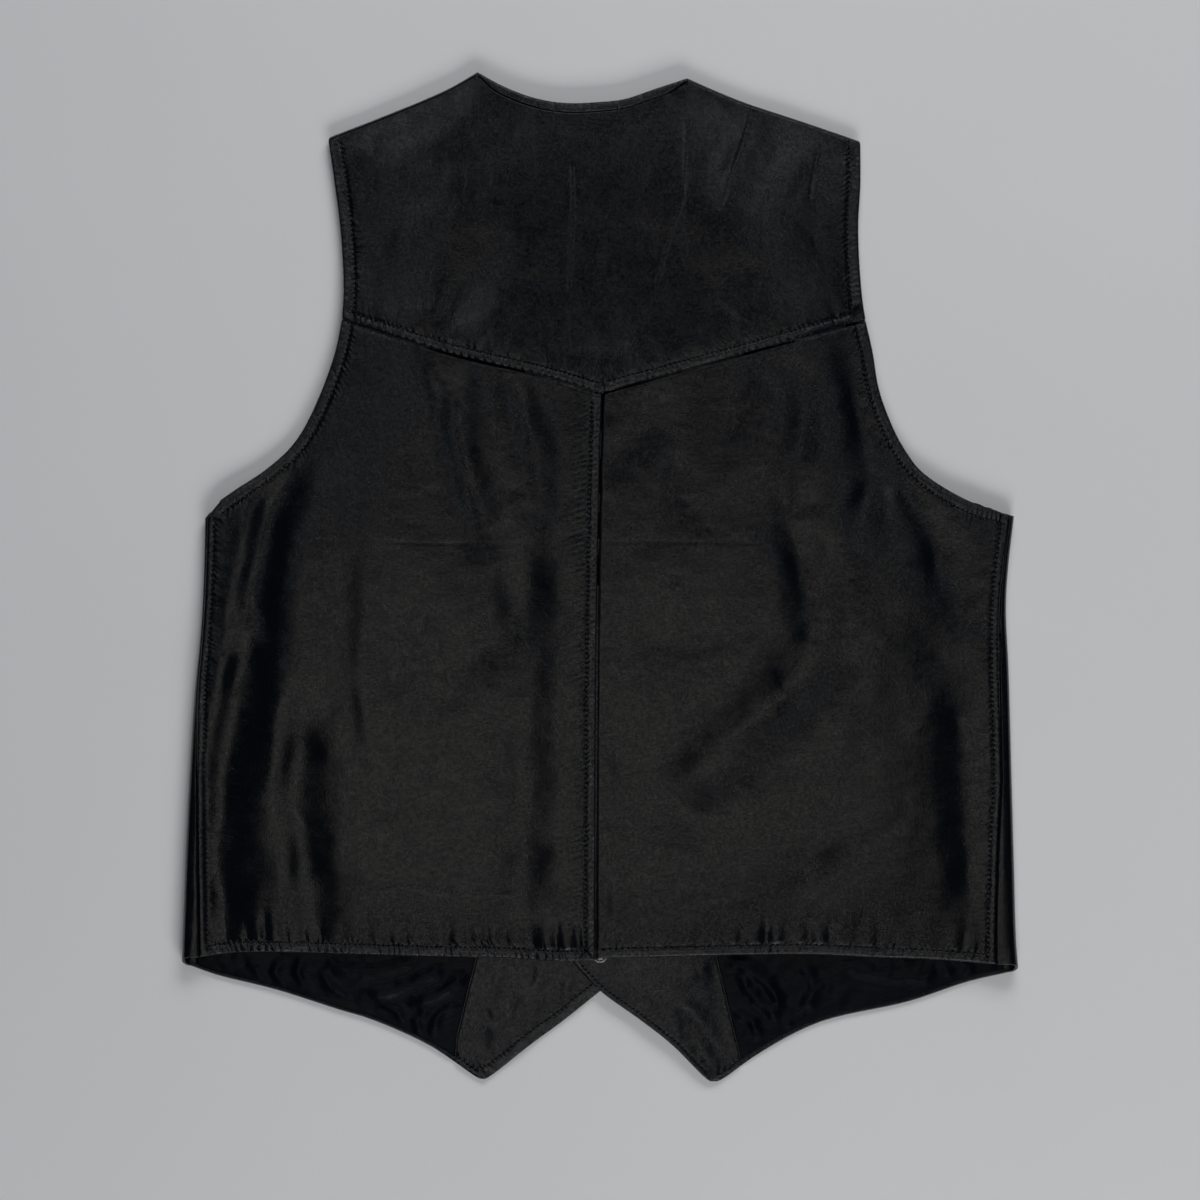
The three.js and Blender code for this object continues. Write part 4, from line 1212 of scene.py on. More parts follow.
@dataclass
class Yoke:
    """The pointed back yoke, between its lower edge, the armholes, the shoulders and the neck."""

    form: BackForm
    hills: Hills
    shoulder_share: float = 0.28
    far_shoulder_share: float = 0.67
    corner: float = 0.004
    shoulder_columns: int = 90
    neck_columns: int = 118
    far_columns: int = 100
    rows: int = 129
    turn_rows: int = 12
    height: float = 0.165
    breadth: float = 0.365
    edge_zone: float = 0.3
    band: float = 0.006
    armhole_band: float = 0.008

    def topstitches(self) -> list[Topstitch]:
        """The rows of stitches on the yoke."""
        edge = Line(YOKE_EDGE(np.linspace(0.0, 1.0, 121)), curved=False)
        left, right = (half.line(half.upper_armhole) for half in (LEFT_HALF, RIGHT_HALF))
        zones = ((0.0, 0.6), (0.2, 1.0), (0.3, 1.5), (0.42, 1.3), (0.5, 1.2), (0.62, 1.0), (1.0, 0.8))
        halves = [
            Topstitch(edge.beside(self.band, start, end), -1, self.band, seed, pucker=0.00028,
                      spacing=0.0054, slant=0.4, swell=0.00034, swell_spacing=0.017,
                      swell_reach=0.012, strong=zones)
            for start, end, seed in ((0.012, 0.488, 51), (0.512, 0.988, 52))
        ]
        return halves + [
            Topstitch(left.beside(-self.armhole_band, 0.02, 0.97), 1, self.armhole_band, 53,
                      pucker=0.00028, spacing=0.0048, slant=0.15, reach=0.005),
            Topstitch(right.beside(self.armhole_band, 0.02, 0.97), -1, self.armhole_band, 54,
                      pucker=0.00024, spacing=0.0044, slant=0.15),
        ]

    def surface(self, where: Array) -> Array:
        """The height of the outer face at points of the plan."""
        to_edge, _, _ = nearest_on(YOKE_RUN, where)
        over_centre = lap_share(from_seam_top(where), 2 * CENTRE_LAP, YOKE_LAP_SLOPE)
        lift = lap_share(to_edge, YOKE_LAP, YOKE_LAP_SLOPE) * (LAYER * (1.0 + over_centre) + YOKE_LAP_EASE)
        relief = sum(row.relief(where) for row in self.topstitches())
        relief = relief + fold_height(CREASES, where, 0.012)
        relief = relief + 0.00036 * self.hills.rough(where, 0.034, 3)
        relief = relief + 0.0005 * self.hills.rough(where + 3.0, 0.08, 1)
        relief = relief + 0.00006 * self.hills.rough(where[..., ::-1], 0.006, 2, stretch=2.4)
        return self.form.height(where) + lift + relief

    def columns(self) -> Array:
        """Shares along the yoke's rows, closer together at the rolled armholes."""
        near, far = self.shoulder_share, self.far_shoulder_share
        first = np.linspace(0.0, near, self.shoulder_columns + 1)
        middle = np.linspace(near + self.corner, far - self.corner, self.neck_columns + 1)
        last = np.linspace(far, 1.0, self.far_columns + 1)
        rolled = len(ROLL_STEPS)
        first[1:rolled] = ROLL_STEPS[1:] / self.breadth
        last[-rolled:-1] = 1.0 - ROLL_STEPS[:0:-1] / self.breadth
        shares = np.concatenate([first, middle, last])
        shares = shares[: (len(shares) - 1) // Shell.COARSER * Shell.COARSER + 1]
        shares[-1] = 1.0
        return shares

    def in_neck(self, u: Array) -> Array:
        """Whether a column ends at the neck."""
        return (u > self.shoulder_share + 2e-6) & (u < self.far_shoulder_share - 2e-6)

    def top(self, u: Array) -> Array:
        """The line below the neck's band, or where the shoulder turns."""
        far_shoulder = RIGHT_HALF.line(RIGHT_HALF.shoulder)
        outline = joined(
            (self.shoulder_share, LEFT_HALF.line(LEFT_HALF.shoulder).at),
            (self.far_shoulder_share - 1e-6, Line(NECK_EDGE).at),
            (1.0, lambda share: far_shoulder.at(1.0 - share)),
        )
        along = (u - self.shoulder_share) / (self.far_shoulder_share - self.shoulder_share)
        depth = neck_depth(np.clip(along, 0.0, 1.0)) + NECK_SEAM_GAP
        return outline(u) - north(np.where(self.in_neck(u), depth + YOKE_TOP_BAND, SHOULDER_RADIUS))

    @staticmethod
    def side(half: HalfPattern) -> PlanCurve:
        """The armhole of one half, up to where the shoulder turns."""
        line = half.line(half.upper_armhole)
        return lambda v: line.at(v) - north(SHOULDER_RADIUS * v)

    def grid(self) -> YokeGrid:
        """Lays out the grid of the yoke's two faces."""
        rows = graded(self.height, self.rows, True, False)[0] / self.height
        rows, beyond = with_turn(rows, self.turn_rows)
        u, v = np.meshgrid(self.columns(), rows)
        beyond = np.broadcast_to(beyond[:, None], u.shape)
        where = patch(YOKE_EDGE, self.top, self.side(LEFT_HALF), self.side(RIGHT_HALF))(u, v)
        in_neck = self.in_neck(u)
        reached = where + north(np.where(in_neck, beyond * YOKE_TOP_BAND, 0.0))
        to_edge, _, _ = nearest_on(YOKE_RUN, reached)
        breadth = np.abs(where[:, -1, 0] - where[:, 0, 0])[:, None]
        to_neck = (1.0 - beyond) * YOKE_TOP_BAND + FAR * (v < 1.0)
        return YokeGrid(
            where, reached, beyond, in_neck,
            to_edge=np.where(v < self.edge_zone, to_edge, FAR),
            to_side=np.minimum(u, 1.0 - u) * breadth,
            to_neck=np.where(in_neck, to_neck, FAR),
        )

    def wall(self, grid: YokeGrid) -> tuple[Array, Array]:
        """How deep the yoke's two faces lie below its surface, thicker where it is turned in."""
        turned = 1.0 - smooth(*TURNED_IN, grid.to_side)
        thickness = LEATHER + (TURNED_EDGE - LEATHER) * turned
        over_seam = lap_share(from_seam_top(grid.where), 2 * CENTRE_LAP)
        packed = LAYER * (1.0 + over_seam) + YOKE_LAP_EASE - NEAR_CONTACT
        lapping = lap_share(grid.to_edge, YOKE_LAP) * (1.0 - turned)
        thickness = mix(thickness, np.minimum(packed, TURNED_EDGE), lapping)
        side_roll = edge_roll(grid.to_side, TURNED_EDGE / 2)
        roll = edge_roll(grid.to_edge, 0.001) + side_roll + edge_roll(grid.to_neck, EDGE_RADIUS)
        under = np.minimum(side_roll, 0.47 * thickness)
        return np.minimum(roll, 0.48 * thickness), thickness - under

    def piece(self) -> Piece:
        """Builds the yoke's two faces."""
        grid = self.grid()
        face = self.surface(grid.reached)
        turns = (grid.beyond > 0) & ~grid.in_neck
        along = np.where(turns, grid.beyond * YOKE_TURN * SHOULDER_RADIUS, 0.0)
        radius = np.full_like(along, SHOULDER_RADIUS)
        faces = [
            np.where(turns[..., None], over_fold(grid.where, NORTH, radius, face, along, depth),
                     lifted(grid.reached, face - depth))
            for depth in self.wall(grid)
        ]
        nearest = np.minimum(np.minimum(grid.to_edge, grid.to_side), grid.to_neck)
        sewn = sewn_at(self.topstitches(), grid.reached)
        return Piece(Shell("back_yoke", *faces, edge_wear(nearest), sewn), Finish.LEATHER, ["back_yoke"],
                     flat=(0.39, 0.24), area=0.064, rests_on=["back_left", "back_right"])


def neck_depth(share: Array) -> Array:
    """The depth of the neck strip on the back face, which tapers to the neck's corners."""
    return mix(0.0028, NECK_STRIP_DEPTH, smooth(0.0, 0.1, share) * smooth(0.0, 0.1, 1.0 - share))


@dataclass
class NeckFacings:
    """The neck facing in three pieces, which roll over the neck edge and run back inside."""

    form: BackForm
    hills: Hills
    joints: Sequence[tuple[str, float, float]] = (
        ("neck_facing_left", 0.0, 0.3873),
        ("neck_facing_centre", 0.3877, 0.6673),
        ("neck_facing_right", 0.6677, 1.0),
    )
    columns: int = 48
    rows: int = 48

    def pieces(self) -> list[Piece]:
        """Builds each piece's two faces."""
        return [self._piece(*joint) for joint in self.joints]

    def _piece(self, name: str, start: float, end: float) -> Piece:
        """One piece between two shares of the neck edge."""
        neck = Line(NECK_EDGE)
        length = (end - start) * neck.length
        arc = NECK_ROLL_RADIUS * math.pi
        along = graded(length, self.columns, True, True)[0]
        top = (neck_depth(start + along / neck.length) - NECK_ROLL_RADIUS)[None]
        run = graded(top[0] + arc + NECK_STRIP_INSIDE, self.rows, True, False).T
        along = np.broadcast_to(along, run.shape)
        edge = neck.at(start + along / neck.length)
        tangent = edge - [0.0, NECK_ROLL_RADIUS]
        flat = tangent - north(np.maximum(top - run, 0.0))
        turned = np.clip(run - top, 0.0, arc)
        height = self.form.height(flat)
        phase = along / 0.0042 + 0.3 * run / 0.0042 + 0.8 * self.hills.along(along, 0.012)
        puckers = 0.00028 * np.cos(2 * math.pi * phase) * (0.8 + 0.5 * self.hills.along(along, 0.02))
        outside = smooth(0.0004, 0.0018, run) * (1.0 - smooth(0.3 * arc, 0.6 * arc, turned))
        height = height + puckers * outside + 0.0002 * smooth(0.0, 0.003, run)
        to_end = np.minimum(along, length - along)
        roll = np.minimum(edge_roll(to_end, 0.0003) + edge_roll(run, 0.0009), 0.001)
        faces = []
        for depth in (roll, np.full_like(roll, LEATHER)):
            points = over_fold(flat, NORTH, np.full_like(run, NECK_ROLL_RADIUS), height, turned, depth)
            points[..., 1] -= np.maximum(run - top - arc, 0.0)
            faces.append(points)
        wear = np.maximum(edge_wear(np.minimum(to_end, run), 0.0012), 0.5)
        rubbed = Sewn(np.full_like(wear, -NECK_STRIP_INSIDE), np.zeros_like(wear))
        return Piece(Shell(name, *faces, wear, rubbed), Finish.LEATHER, [name],
                     flat=(round(length, 3), 0.025), area=None, rests_on=["back_yoke"])


def front_lift(half: HalfPattern, where: Array) -> Array:
    """How far a front lies above the floor: the right one rises over the left one."""
    if half.side is Side.LEFT:
        return np.zeros(where.shape[:-1])
    beside = 1.0 - smooth(OVERLAP_END, OVERLAP_SLOPE_END, where[..., 0])
    below = 1.0 - smooth(OVERLAP_TOP, OVERLAP_TOP_SLOPE_END, where[..., 1])
    return 2 * LAYER * beside * below


class FrontPlan:
    """The plan of a front inside its side fold."""

    UNDERARM = 0.5
    UNDERARM_FADE = 0.052
    POINT_SHARE = 0.14
    V_NECK_SHARE = 0.62
    V_NECK_MIDDLE = Edge(0.014, 0.21)
    CORNER_SHARE = 0.06
    TIP_RADIUS = 0.0055
    TIP_DEPTH = 0.016
    SHOULDER_DROP = 0.003

    def __init__(self, half: HalfPattern) -> None:
        """Lays out the front's four edges."""
        self.half = half
        self.outer = OuterLine(half, half.armhole(), self.UNDERARM, self.UNDERARM_FADE,
                               FRONT_ARMHOLE_INSET)
        corner = half.point_edge[-1]
        v_bottom = Edge(corner.reach, V_NECK_BOTTOM)
        neck_point = Edge(half.shoulder[-1].reach, half.shoulder[-1].y - SHOULDER_RADIUS)
        self.inner = joined(
            (self.POINT_SHARE, half.line(half.point_edge).at),
            (self.V_NECK_SHARE, half.line([corner, v_bottom]).at),
            (1.0, half.line([v_bottom, self.V_NECK_MIDDLE, neck_point]).at),
        )
        self.shoulder = half.line(half.shoulder)
        self.hem = half.line(half.front_hem)
        self.sharp = patch(self.hem.at, self.top, self.start, self.inner)
        tip, along_hem, along_point = (np.array(half.placed(rows)) for rows in
                                       (half.point_edge[:1], half.front_hem[-4:-3], half.point_edge[2:3]))
        arms = [(end[0] - tip[0]) / np.linalg.norm(end[0] - tip[0]) for end in (along_hem, along_point)]
        inwards = arms[0] + arms[1]
        self.tip, self.inwards = tip[0], inwards / np.linalg.norm(inwards)
        self.half_angle = math.acos(float(arms[0] @ arms[1])) / 2

    def at(self, u: Array, v: Array) -> Array:
        """The point at a share along its row and a share up its column, with the tip rounded."""
        where = self.sharp(u, v)
        inside = (where - self.tip) @ self.inwards
        aside = np.abs((where - self.tip) @ np.array([-self.inwards[1], self.inwards[0]]))
        edge = aside / math.tan(self.half_angle)
        arc = self.TIP_RADIUS / math.sin(self.half_angle)
        arc = arc - np.sqrt(np.maximum(self.TIP_RADIUS**2 - aside**2, 0.0))
        rounded = (aside < self.TIP_RADIUS * math.cos(self.half_angle)) & (inside < self.TIP_DEPTH)
        share = (inside - edge) / np.maximum(self.TIP_DEPTH - edge, TINY)
        by = np.where(rounded, (arc - edge) * (1.0 - np.clip(share, 0.0, 1.0)), 0.0)
        return where + by[..., None] * self.inwards

    def drop(self, v: Array) -> Array:
        """How far the front hangs below the back's hem at the side."""
        by = self.half.front_hem[0].y - self.half.fold[0].y
        return by * (1.0 - smooth(0.0, self.CORNER_SHARE, v))

    def start(self, v: Array) -> Array:
        """The line where the side fold meets the floor."""
        at = self.outer.at(v)
        lowered = (SHOULDER_RADIUS + self.SHOULDER_DROP) * smooth(0.9, 1.0, v)
        x = at.points[..., 0] - self.half.sign * at.radius
        return np.stack([x, at.points[..., 1] + self.drop(v) - lowered], -1)

    def top(self, u: Array) -> Array:
        """The line where the shoulder turns up."""
        one, zero = np.ones(1), np.zeros(1)
        gap = self.start(one)[0] - self.shoulder.at(zero)[0] + [0.0, SHOULDER_RADIUS]
        return self.shoulder.at(u) - [0.0, SHOULDER_RADIUS] + gap * (1.0 - u)[..., None]

    def joint(self, v: Array) -> Array:
        """The share of each row at which the facing begins."""
        rows = sorted(self.half.facing_edge, key=lambda row: row.y)
        low, high = np.zeros_like(v), np.ones_like(v)
        for _ in range(24):
            middle = (low + high) / 2
            points = self.at(middle, v)
            reach = np.interp(points[..., 1], [row.y for row in rows], [row.reach for row in rows])
            outside = self.half.sign * points[..., 0] > reach
            low, high = np.where(outside, middle, low), np.where(outside, high, middle)
        return low

    def rows(self, fine: int, coarse: int, lowest: float = 0.0, highest: float = 1.0) -> Array:
        """Shares up the front: fine below the back's hem, which shows, and coarser above it."""
        shown = 0.15
        low = graded((shown - lowest) * FRONT_HEIGHT, fine, True, False)[0] / FRONT_HEIGHT + lowest
        middle = int(coarse * 0.55)
        to_underarm = np.linspace(shown, self.UNDERARM, middle + 1)[1:]
        above = np.linspace(self.UNDERARM, highest, coarse - middle + 1)[1:]
        return np.concatenate([low, to_underarm, above])


class FrontRows(NamedTuple):
    """A front's rows: the side fold, the strip on the back face and the flat stretch of each."""

    share: Array
    fold: FoldLine
    tangent: Array
    strip: Array
    first_angle: Array
    wrapped: Array
    flat: Array


@dataclass
class Front:
    """A front: its strip on the back face, the side fold, and the flat stretch on the floor."""

    half: HalfPattern
    form: BackForm
    hills: Hills
    wrap_columns: int = 24
    flat_columns: int = 78
    fine_rows: int = 78
    coarse_rows: int = 156
    turn_rows: int = 9
    side_gap: float = 0.0004
    bead: float = 0.0009

    def rows(self, plan: FrontPlan) -> tuple[FrontRows, Array]:
        """The front's rows, and how far round the shoulder's turn each one is."""
        share, beyond = with_turn(plan.rows(self.fine_rows, self.coarse_rows), self.turn_rows)
        fold, tangent = plan.outer.at(share), plan.start(share)
        strip = np.maximum(fold.strip - fold.radius - self.side_gap, 0.0)
        gap = self.side_gap / np.maximum(fold.radius, TINY)
        first_angle = fold.seam_angle + np.where((fold.radius > 0) & (strip == 0), gap, 0.0)
        wrapped = strip + fold.radius * (math.pi - first_angle)
        flat = np.hypot(*(plan.inner(share) - tangent).T)
        return FrontRows(share, fold, tangent, strip, first_angle, wrapped, flat), beyond

    def columns(self, rows: FrontRows) -> tuple[Array, Array]:
        """The columns of each row.

        Args:
            rows: The front's rows.

        Returns:
            The length from the side seam to each column of the wrap, and every column's share of
            the flat stretch.
        """
        wrapped, flat = rows.wrapped[:, None], rows.flat[:, None]
        near = np.maximum(wrapped, 0.01)
        opening = np.minimum(ROLL_STEPS, near / 3)
        count = self.wrap_columns - len(ROLL_STEPS) + 1
        later = mix(opening[:, -1:], near, np.arange(1, count + 1)[None] / count)
        run = np.concatenate([opening, later], 1)
        share = graded(rows.flat, self.flat_columns, False, True) / flat
        beyond = mix((near - wrapped) / flat, 1.0, share[:, 1:])
        return run, np.concatenate([np.maximum(run - wrapped, 0.0) / flat, beyond], 1)

    def wall(self, plan: FrontPlan, rows: FrontRows, u: Array, v: Array) -> tuple[Array, Array]:
        """The distance to the nearest free edge, and the leather's thickness with its hem's bead."""
        flat = rows.flat[:, None]
        to_hem = v * FRONT_HEIGHT
        above = smooth(plan.UNDERARM, plan.UNDERARM + 0.02, v)
        to_armhole = np.where(above > 0, u * flat + FAR * (above < 0.5), FAR)
        on_leather = 1.0 - smooth(-0.02, 0.0, u - plan.joint(rows.share)[:, None])
        bead = self.bead * (1.0 - smooth(0.0017, 0.0025, to_hem)) * on_leather
        edge = np.minimum(np.minimum(to_hem, np.maximum(1.0 - u, 0.0) * flat), to_armhole)
        return edge, LEATHER + bead

    @staticmethod
    def roll(edge: Array, thickness: Array) -> Array:
        """How far the two faces are rolled in at an edge."""
        return np.minimum(edge_roll(edge, EDGE_RADIUS), 0.44 * thickness)

    def piece(self) -> Piece:
        """Builds the front's two faces."""
        plan = FrontPlan(self.half)
        rows, beyond = self.rows(plan)
        wrap_run, u = self.columns(rows)
        v = np.broadcast_to(rows.share[:, None], u.shape)
        where = plan.at(u, v)
        edge, thickness = self.wall(plan, rows, u, v)
        roll = self.roll(edge, thickness)
        turn = beyond[:, None] * (math.pi - YOKE_TURN - self.side_gap / SHOULDER_RADIUS)
        faces = []
        for sink in (roll, thickness - roll):
            reach = SHOULDER_RADIUS - sink
            height = front_lift(self.half, where) + (SHOULDER_RADIUS - reach * np.cos(turn))
            faces.append(lifted(where + north(reach * np.sin(turn)), height))
        self._wrap(faces, plan, rows, wrap_run, thickness, edge)
        run = np.full(u.shape, FAR)
        run[:, : wrap_run.shape[1]] = wrap_run
        name = f"front_{self.half.side.name.lower()}"
        return Piece(Shell(name, *faces, edge_wear(np.minimum(edge, run))), Finish.LEATHER, [name],
                     flat=(0.34, 0.72), area=0.157)

    def _wrap(self, faces: list, plan: FrontPlan, rows: FrontRows, run: Array, thickness: Array,
              edge: Array) -> None:
        """Places the columns of the side fold and of the strip on the back face.

        Args:
            faces: The outer and inner faces, which are changed.
            plan: The front's plan.
            rows: The front's rows.
            run: The length from the side seam to each column.
            thickness: The wall's thickness.
            edge: The distance to the nearest free edge.
        """
        sign, columns = float(self.half.sign), run.shape[1]
        thick = thickness[:, :columns]
        roll = self.roll(np.minimum(run, edge[:, :columns]), thick)
        strip_end, radius = rows.strip[:, None], np.broadcast_to(rows.fold.radius[:, None], run.shape)
        flat = np.maximum(strip_end - run, 0.0)
        turn = rows.first_angle[:, None] + np.maximum(run - strip_end, 0.0) / np.maximum(radius, TINY)
        turn = np.minimum(turn, math.pi)
        start = np.stack([rows.tangent[:, 0], rows.fold.points[:, 1]], -1)[:, None]
        strip = start - np.stack([sign * flat, np.zeros_like(flat)], -1)
        rise = self.form.height(strip) - self.form.height(start)
        swell = 0.0003 * np.sin(math.pi * np.clip(flat / np.maximum(strip_end, TINY), 0, 1))
        ripple = 0.00012 * self.hills.rough(strip, 0.012, 2) * smooth(0.0, 0.002, run)
        height = 2 * radius + rise + swell + ripple
        dropped = plan.drop(rows.share)[:, None] * (1.0 - np.cos(turn)) / 2
        wraps = (run < rows.wrapped[:, None] - TINY)[..., None]
        for face, sink in zip(faces, (roll, thick - roll)):
            points = over_fold(np.broadcast_to(start, strip.shape), np.array([sign, 0.0]), radius,
                               2 * radius, turn * radius, sink)
            points = points + lifted(north(dropped), np.zeros_like(dropped))
            points = np.where((flat > 0)[..., None], lifted(strip, height - sink), points)
            face[:, :columns] = np.where(wraps, points, face[:, :columns])


LINING_FOLDS = {
    Side.LEFT: folds(
        (2, 4, (-110, -270), (-125, -278), (-145, -285), (-160, -287)),
        (2.2, 3.5, (-94, -276), (-112, -288), (-128, -293.5)),
        (1.8, 3, (-100, -296), (-112, -302), (-116, -313)),
        (1.6, 4.5, (-130, -266), (-160, -272), (-185, -270)),
        (1.5, 3, (-206, -265), (-210, -274), (-206, -281)),
        (1.4, 2.8, (-222, -266), (-226, -274), (-221, -280)),
        (1.4, 2.8, (-192, -274), (-188, -283), (-178, -288)),
        (1.4, 2.6, (-150, -296), (-140, -301), (-136, -308)),
        (1.2, 2.6, (-240, -268), (-236, -276)),
        (1.6, 3, (-120, -300), (-128, -308), (-126, -316)),
    ),
    Side.RIGHT: folds(
        (2.6, 4, (90, -266), (104, -272), (118, -284), (124, -296)),
        (2.2, 3.5, (98, -276), (104, -288), (116, -298), (122, -306)),
        (1.8, 3, (96, -302), (106, -308), (110, -316)),
        (1.4, 4, (140, -268), (148, -285), (140, -298)),
        (1.2, 6, (170, -270), (200, -276), (225, -278)),
        (1.4, 2.8, (238, -268), (242, -276)),
        (1.2, 2.6, (228, -269), (226, -279)),
        (1.2, 2.6, (254, -269), (256, -274)),
        (1.2, 2.6, (128, -306), (132, -312)),
    ),
}
FACING_FOLDS = folds(
    (0.7, 5, (-70, -270), (-74, -295), (-70, -315)),
    (0.5, 4, (-40, -270), (-48, -290), (-62, -305)),
    (0.6, 4, (-18, -272), (-24, -285), (-22, -296)),
    (0.4, 3.5, (-85, -305), (-66, -318), (-55, -326)),
    (0.7, 5, (14, -276), (36, -290), (50, -306)),
    (0.5, 4, (40, -268), (58, -278), (70, -274)),
    (0.6, 4, (50, -290), (66, -300), (80, -320)),
    (0.5, 3.5, (66, -312), (72, -326), (80, -338)),
)


@dataclass(frozen=True)
class SheetCut:
    """The measures of an inner sheet: its flat size, its lowest row, its thickness and its edge."""

    finish: Finish
    flat: tuple[float, float]
    area: float
    lowest: float
    thickness: float
    edge_radius: float


FACING_CUT = SheetCut(Finish.FACING, (0.11, 0.69), 0.046, 0.0012, 0.0014, 0.0009)
LINING_CUT = SheetCut(Finish.SATIN, (0.25, 0.65), 0.098, 0.004, 0.0009, 0.0005)


@dataclass
class InnerSheet:
    """What lies on a front's inside: the facing along its edge, or the lining beside it."""

    half: HalfPattern
    hills: Hills
    is_facing: bool
    fine_rows: int = 99
    coarse_rows: int = 81
    highest: float = 0.985
    joint_gap: float = 0.0004
    hem_band: float = 0.004

    @property
    def name(self) -> str:
        """The piece's name."""
        return f"front_{'facing' if self.is_facing else 'lining'}_{self.half.side.name.lower()}"

    @property
    def cut(self) -> SheetCut:
        """The sheet's measures."""
        return FACING_CUT if self.is_facing else LINING_CUT

    @property
    def stitch_band(self) -> float:
        """The distance of the topstitching from the facing's outer edge."""
        return 0.0076 if self.half.side is Side.LEFT else 0.0036

    def topstitches(self) -> list[Topstitch]:
        """The rows of stitches along the facing's edges."""
        if not self.is_facing:
            return []
        sign = self.half.sign
        edge = self.half.line(self.half.point_edge)
        hem = self.half.line(self.half.front_hem)
        return [
            Topstitch(line.beside(-sign * band, start, end), sign, band, seed + sign,
                      pucker=0.00012, spacing=0.005, reach=0.003, groove=0.0003)
            for line, band, start, end, seed in (
                (edge, self.stitch_band, 0.07, 0.97, 61), (hem, self.hem_band, 0.86, 0.975, 71),
            )
        ]

    def surface(self, where: Array) -> Array:
        """The height of the upper face at points of the plan."""
        base = front_lift(self.half, where) + LAYER
        if self.is_facing:
            relief = sum(row.relief(where) for row in self.topstitches())
            relief = relief + fold_height(FACING_FOLDS, where, 0.008)
            relief = relief + 0.00042 * self.hills.rough(where, 0.017, 3)
            return base + LEATHER + np.maximum(relief, -0.0005)
        crumple = self.hills.rough(warped(where, 0.004, 0.02), 0.009, 3, stretch=1.5)
        fine = np.abs(self.hills.rough(where[..., ::-1], 0.006, 2, stretch=1.8))
        relief = 0.00036 * crumple + 0.00036 * (0.45 - fine)
        relief = relief + fold_height(LINING_FOLDS[self.half.side], where, 0.006)
        return base + 0.001 + np.maximum(relief + 0.0002, -0.0003)

    def columns(self, plan: FrontPlan, v: Array, length: Array) -> tuple[Array, Array, int]:
        """The shares at which each row of the sheet starts and ends, and its number of columns.

        Args:
            plan: The front's plan.
            v: The share of the front's height at each row.
            length: The length of each row.

        Returns:
            The two shares and the number of columns.
        """
        joint, gap = plan.joint(v), self.joint_gap / length
        if self.is_facing:
            return joint + gap, 1.0 - 0.0005 / length, Shell.steps(66)
        above = smooth(plan.UNDERARM - 0.06, plan.UNDERARM, v)
        return mix(0.003, 0.014, above) / length, joint - gap, Shell.steps(102)

    def piece(self) -> Piece:
        """Builds the sheet's two faces."""
        plan, cut = FrontPlan(self.half), self.cut
        v = plan.rows(self.fine_rows, self.coarse_rows, cut.lowest, self.highest)
        length = np.hypot(*(plan.inner(v) - plan.start(v)).T)
        first, last, columns = self.columns(plan, v, length)
        breadth = (last - first) * length
        run = graded(breadth, columns, True, True)
        u = first[:, None] + run / length[:, None]
        rows = np.broadcast_to(v[:, None], u.shape)
        where = plan.at(u, rows)
        top = self.surface(where)
        bottom = front_lift(self.half, where) + LAYER - NEAR_CONTACT
        edge = np.minimum(np.minimum(run, breadth[:, None] - run), (rows - cut.lowest) * FRONT_HEIGHT)
        thickness = np.minimum(top - bottom, cut.thickness)
        roll = np.minimum(edge_roll(edge, cut.edge_radius), 0.42 * thickness)
        if not self.is_facing:
            top = top - np.maximum((top - bottom - 0.001) * np.exp(-edge / 0.003), 0.0)
        faces = [lifted(where, height) for height in (top - roll, top - thickness + 0.4 * roll)]
        sewn = sewn_at(self.topstitches(), where)
        return Piece(Shell(self.name, *faces, edge_wear(edge), sewn), cut.finish, [self.name],
                     flat=cut.flat, area=cut.area, rests_on=["front_" + self.half.side.name.lower()])


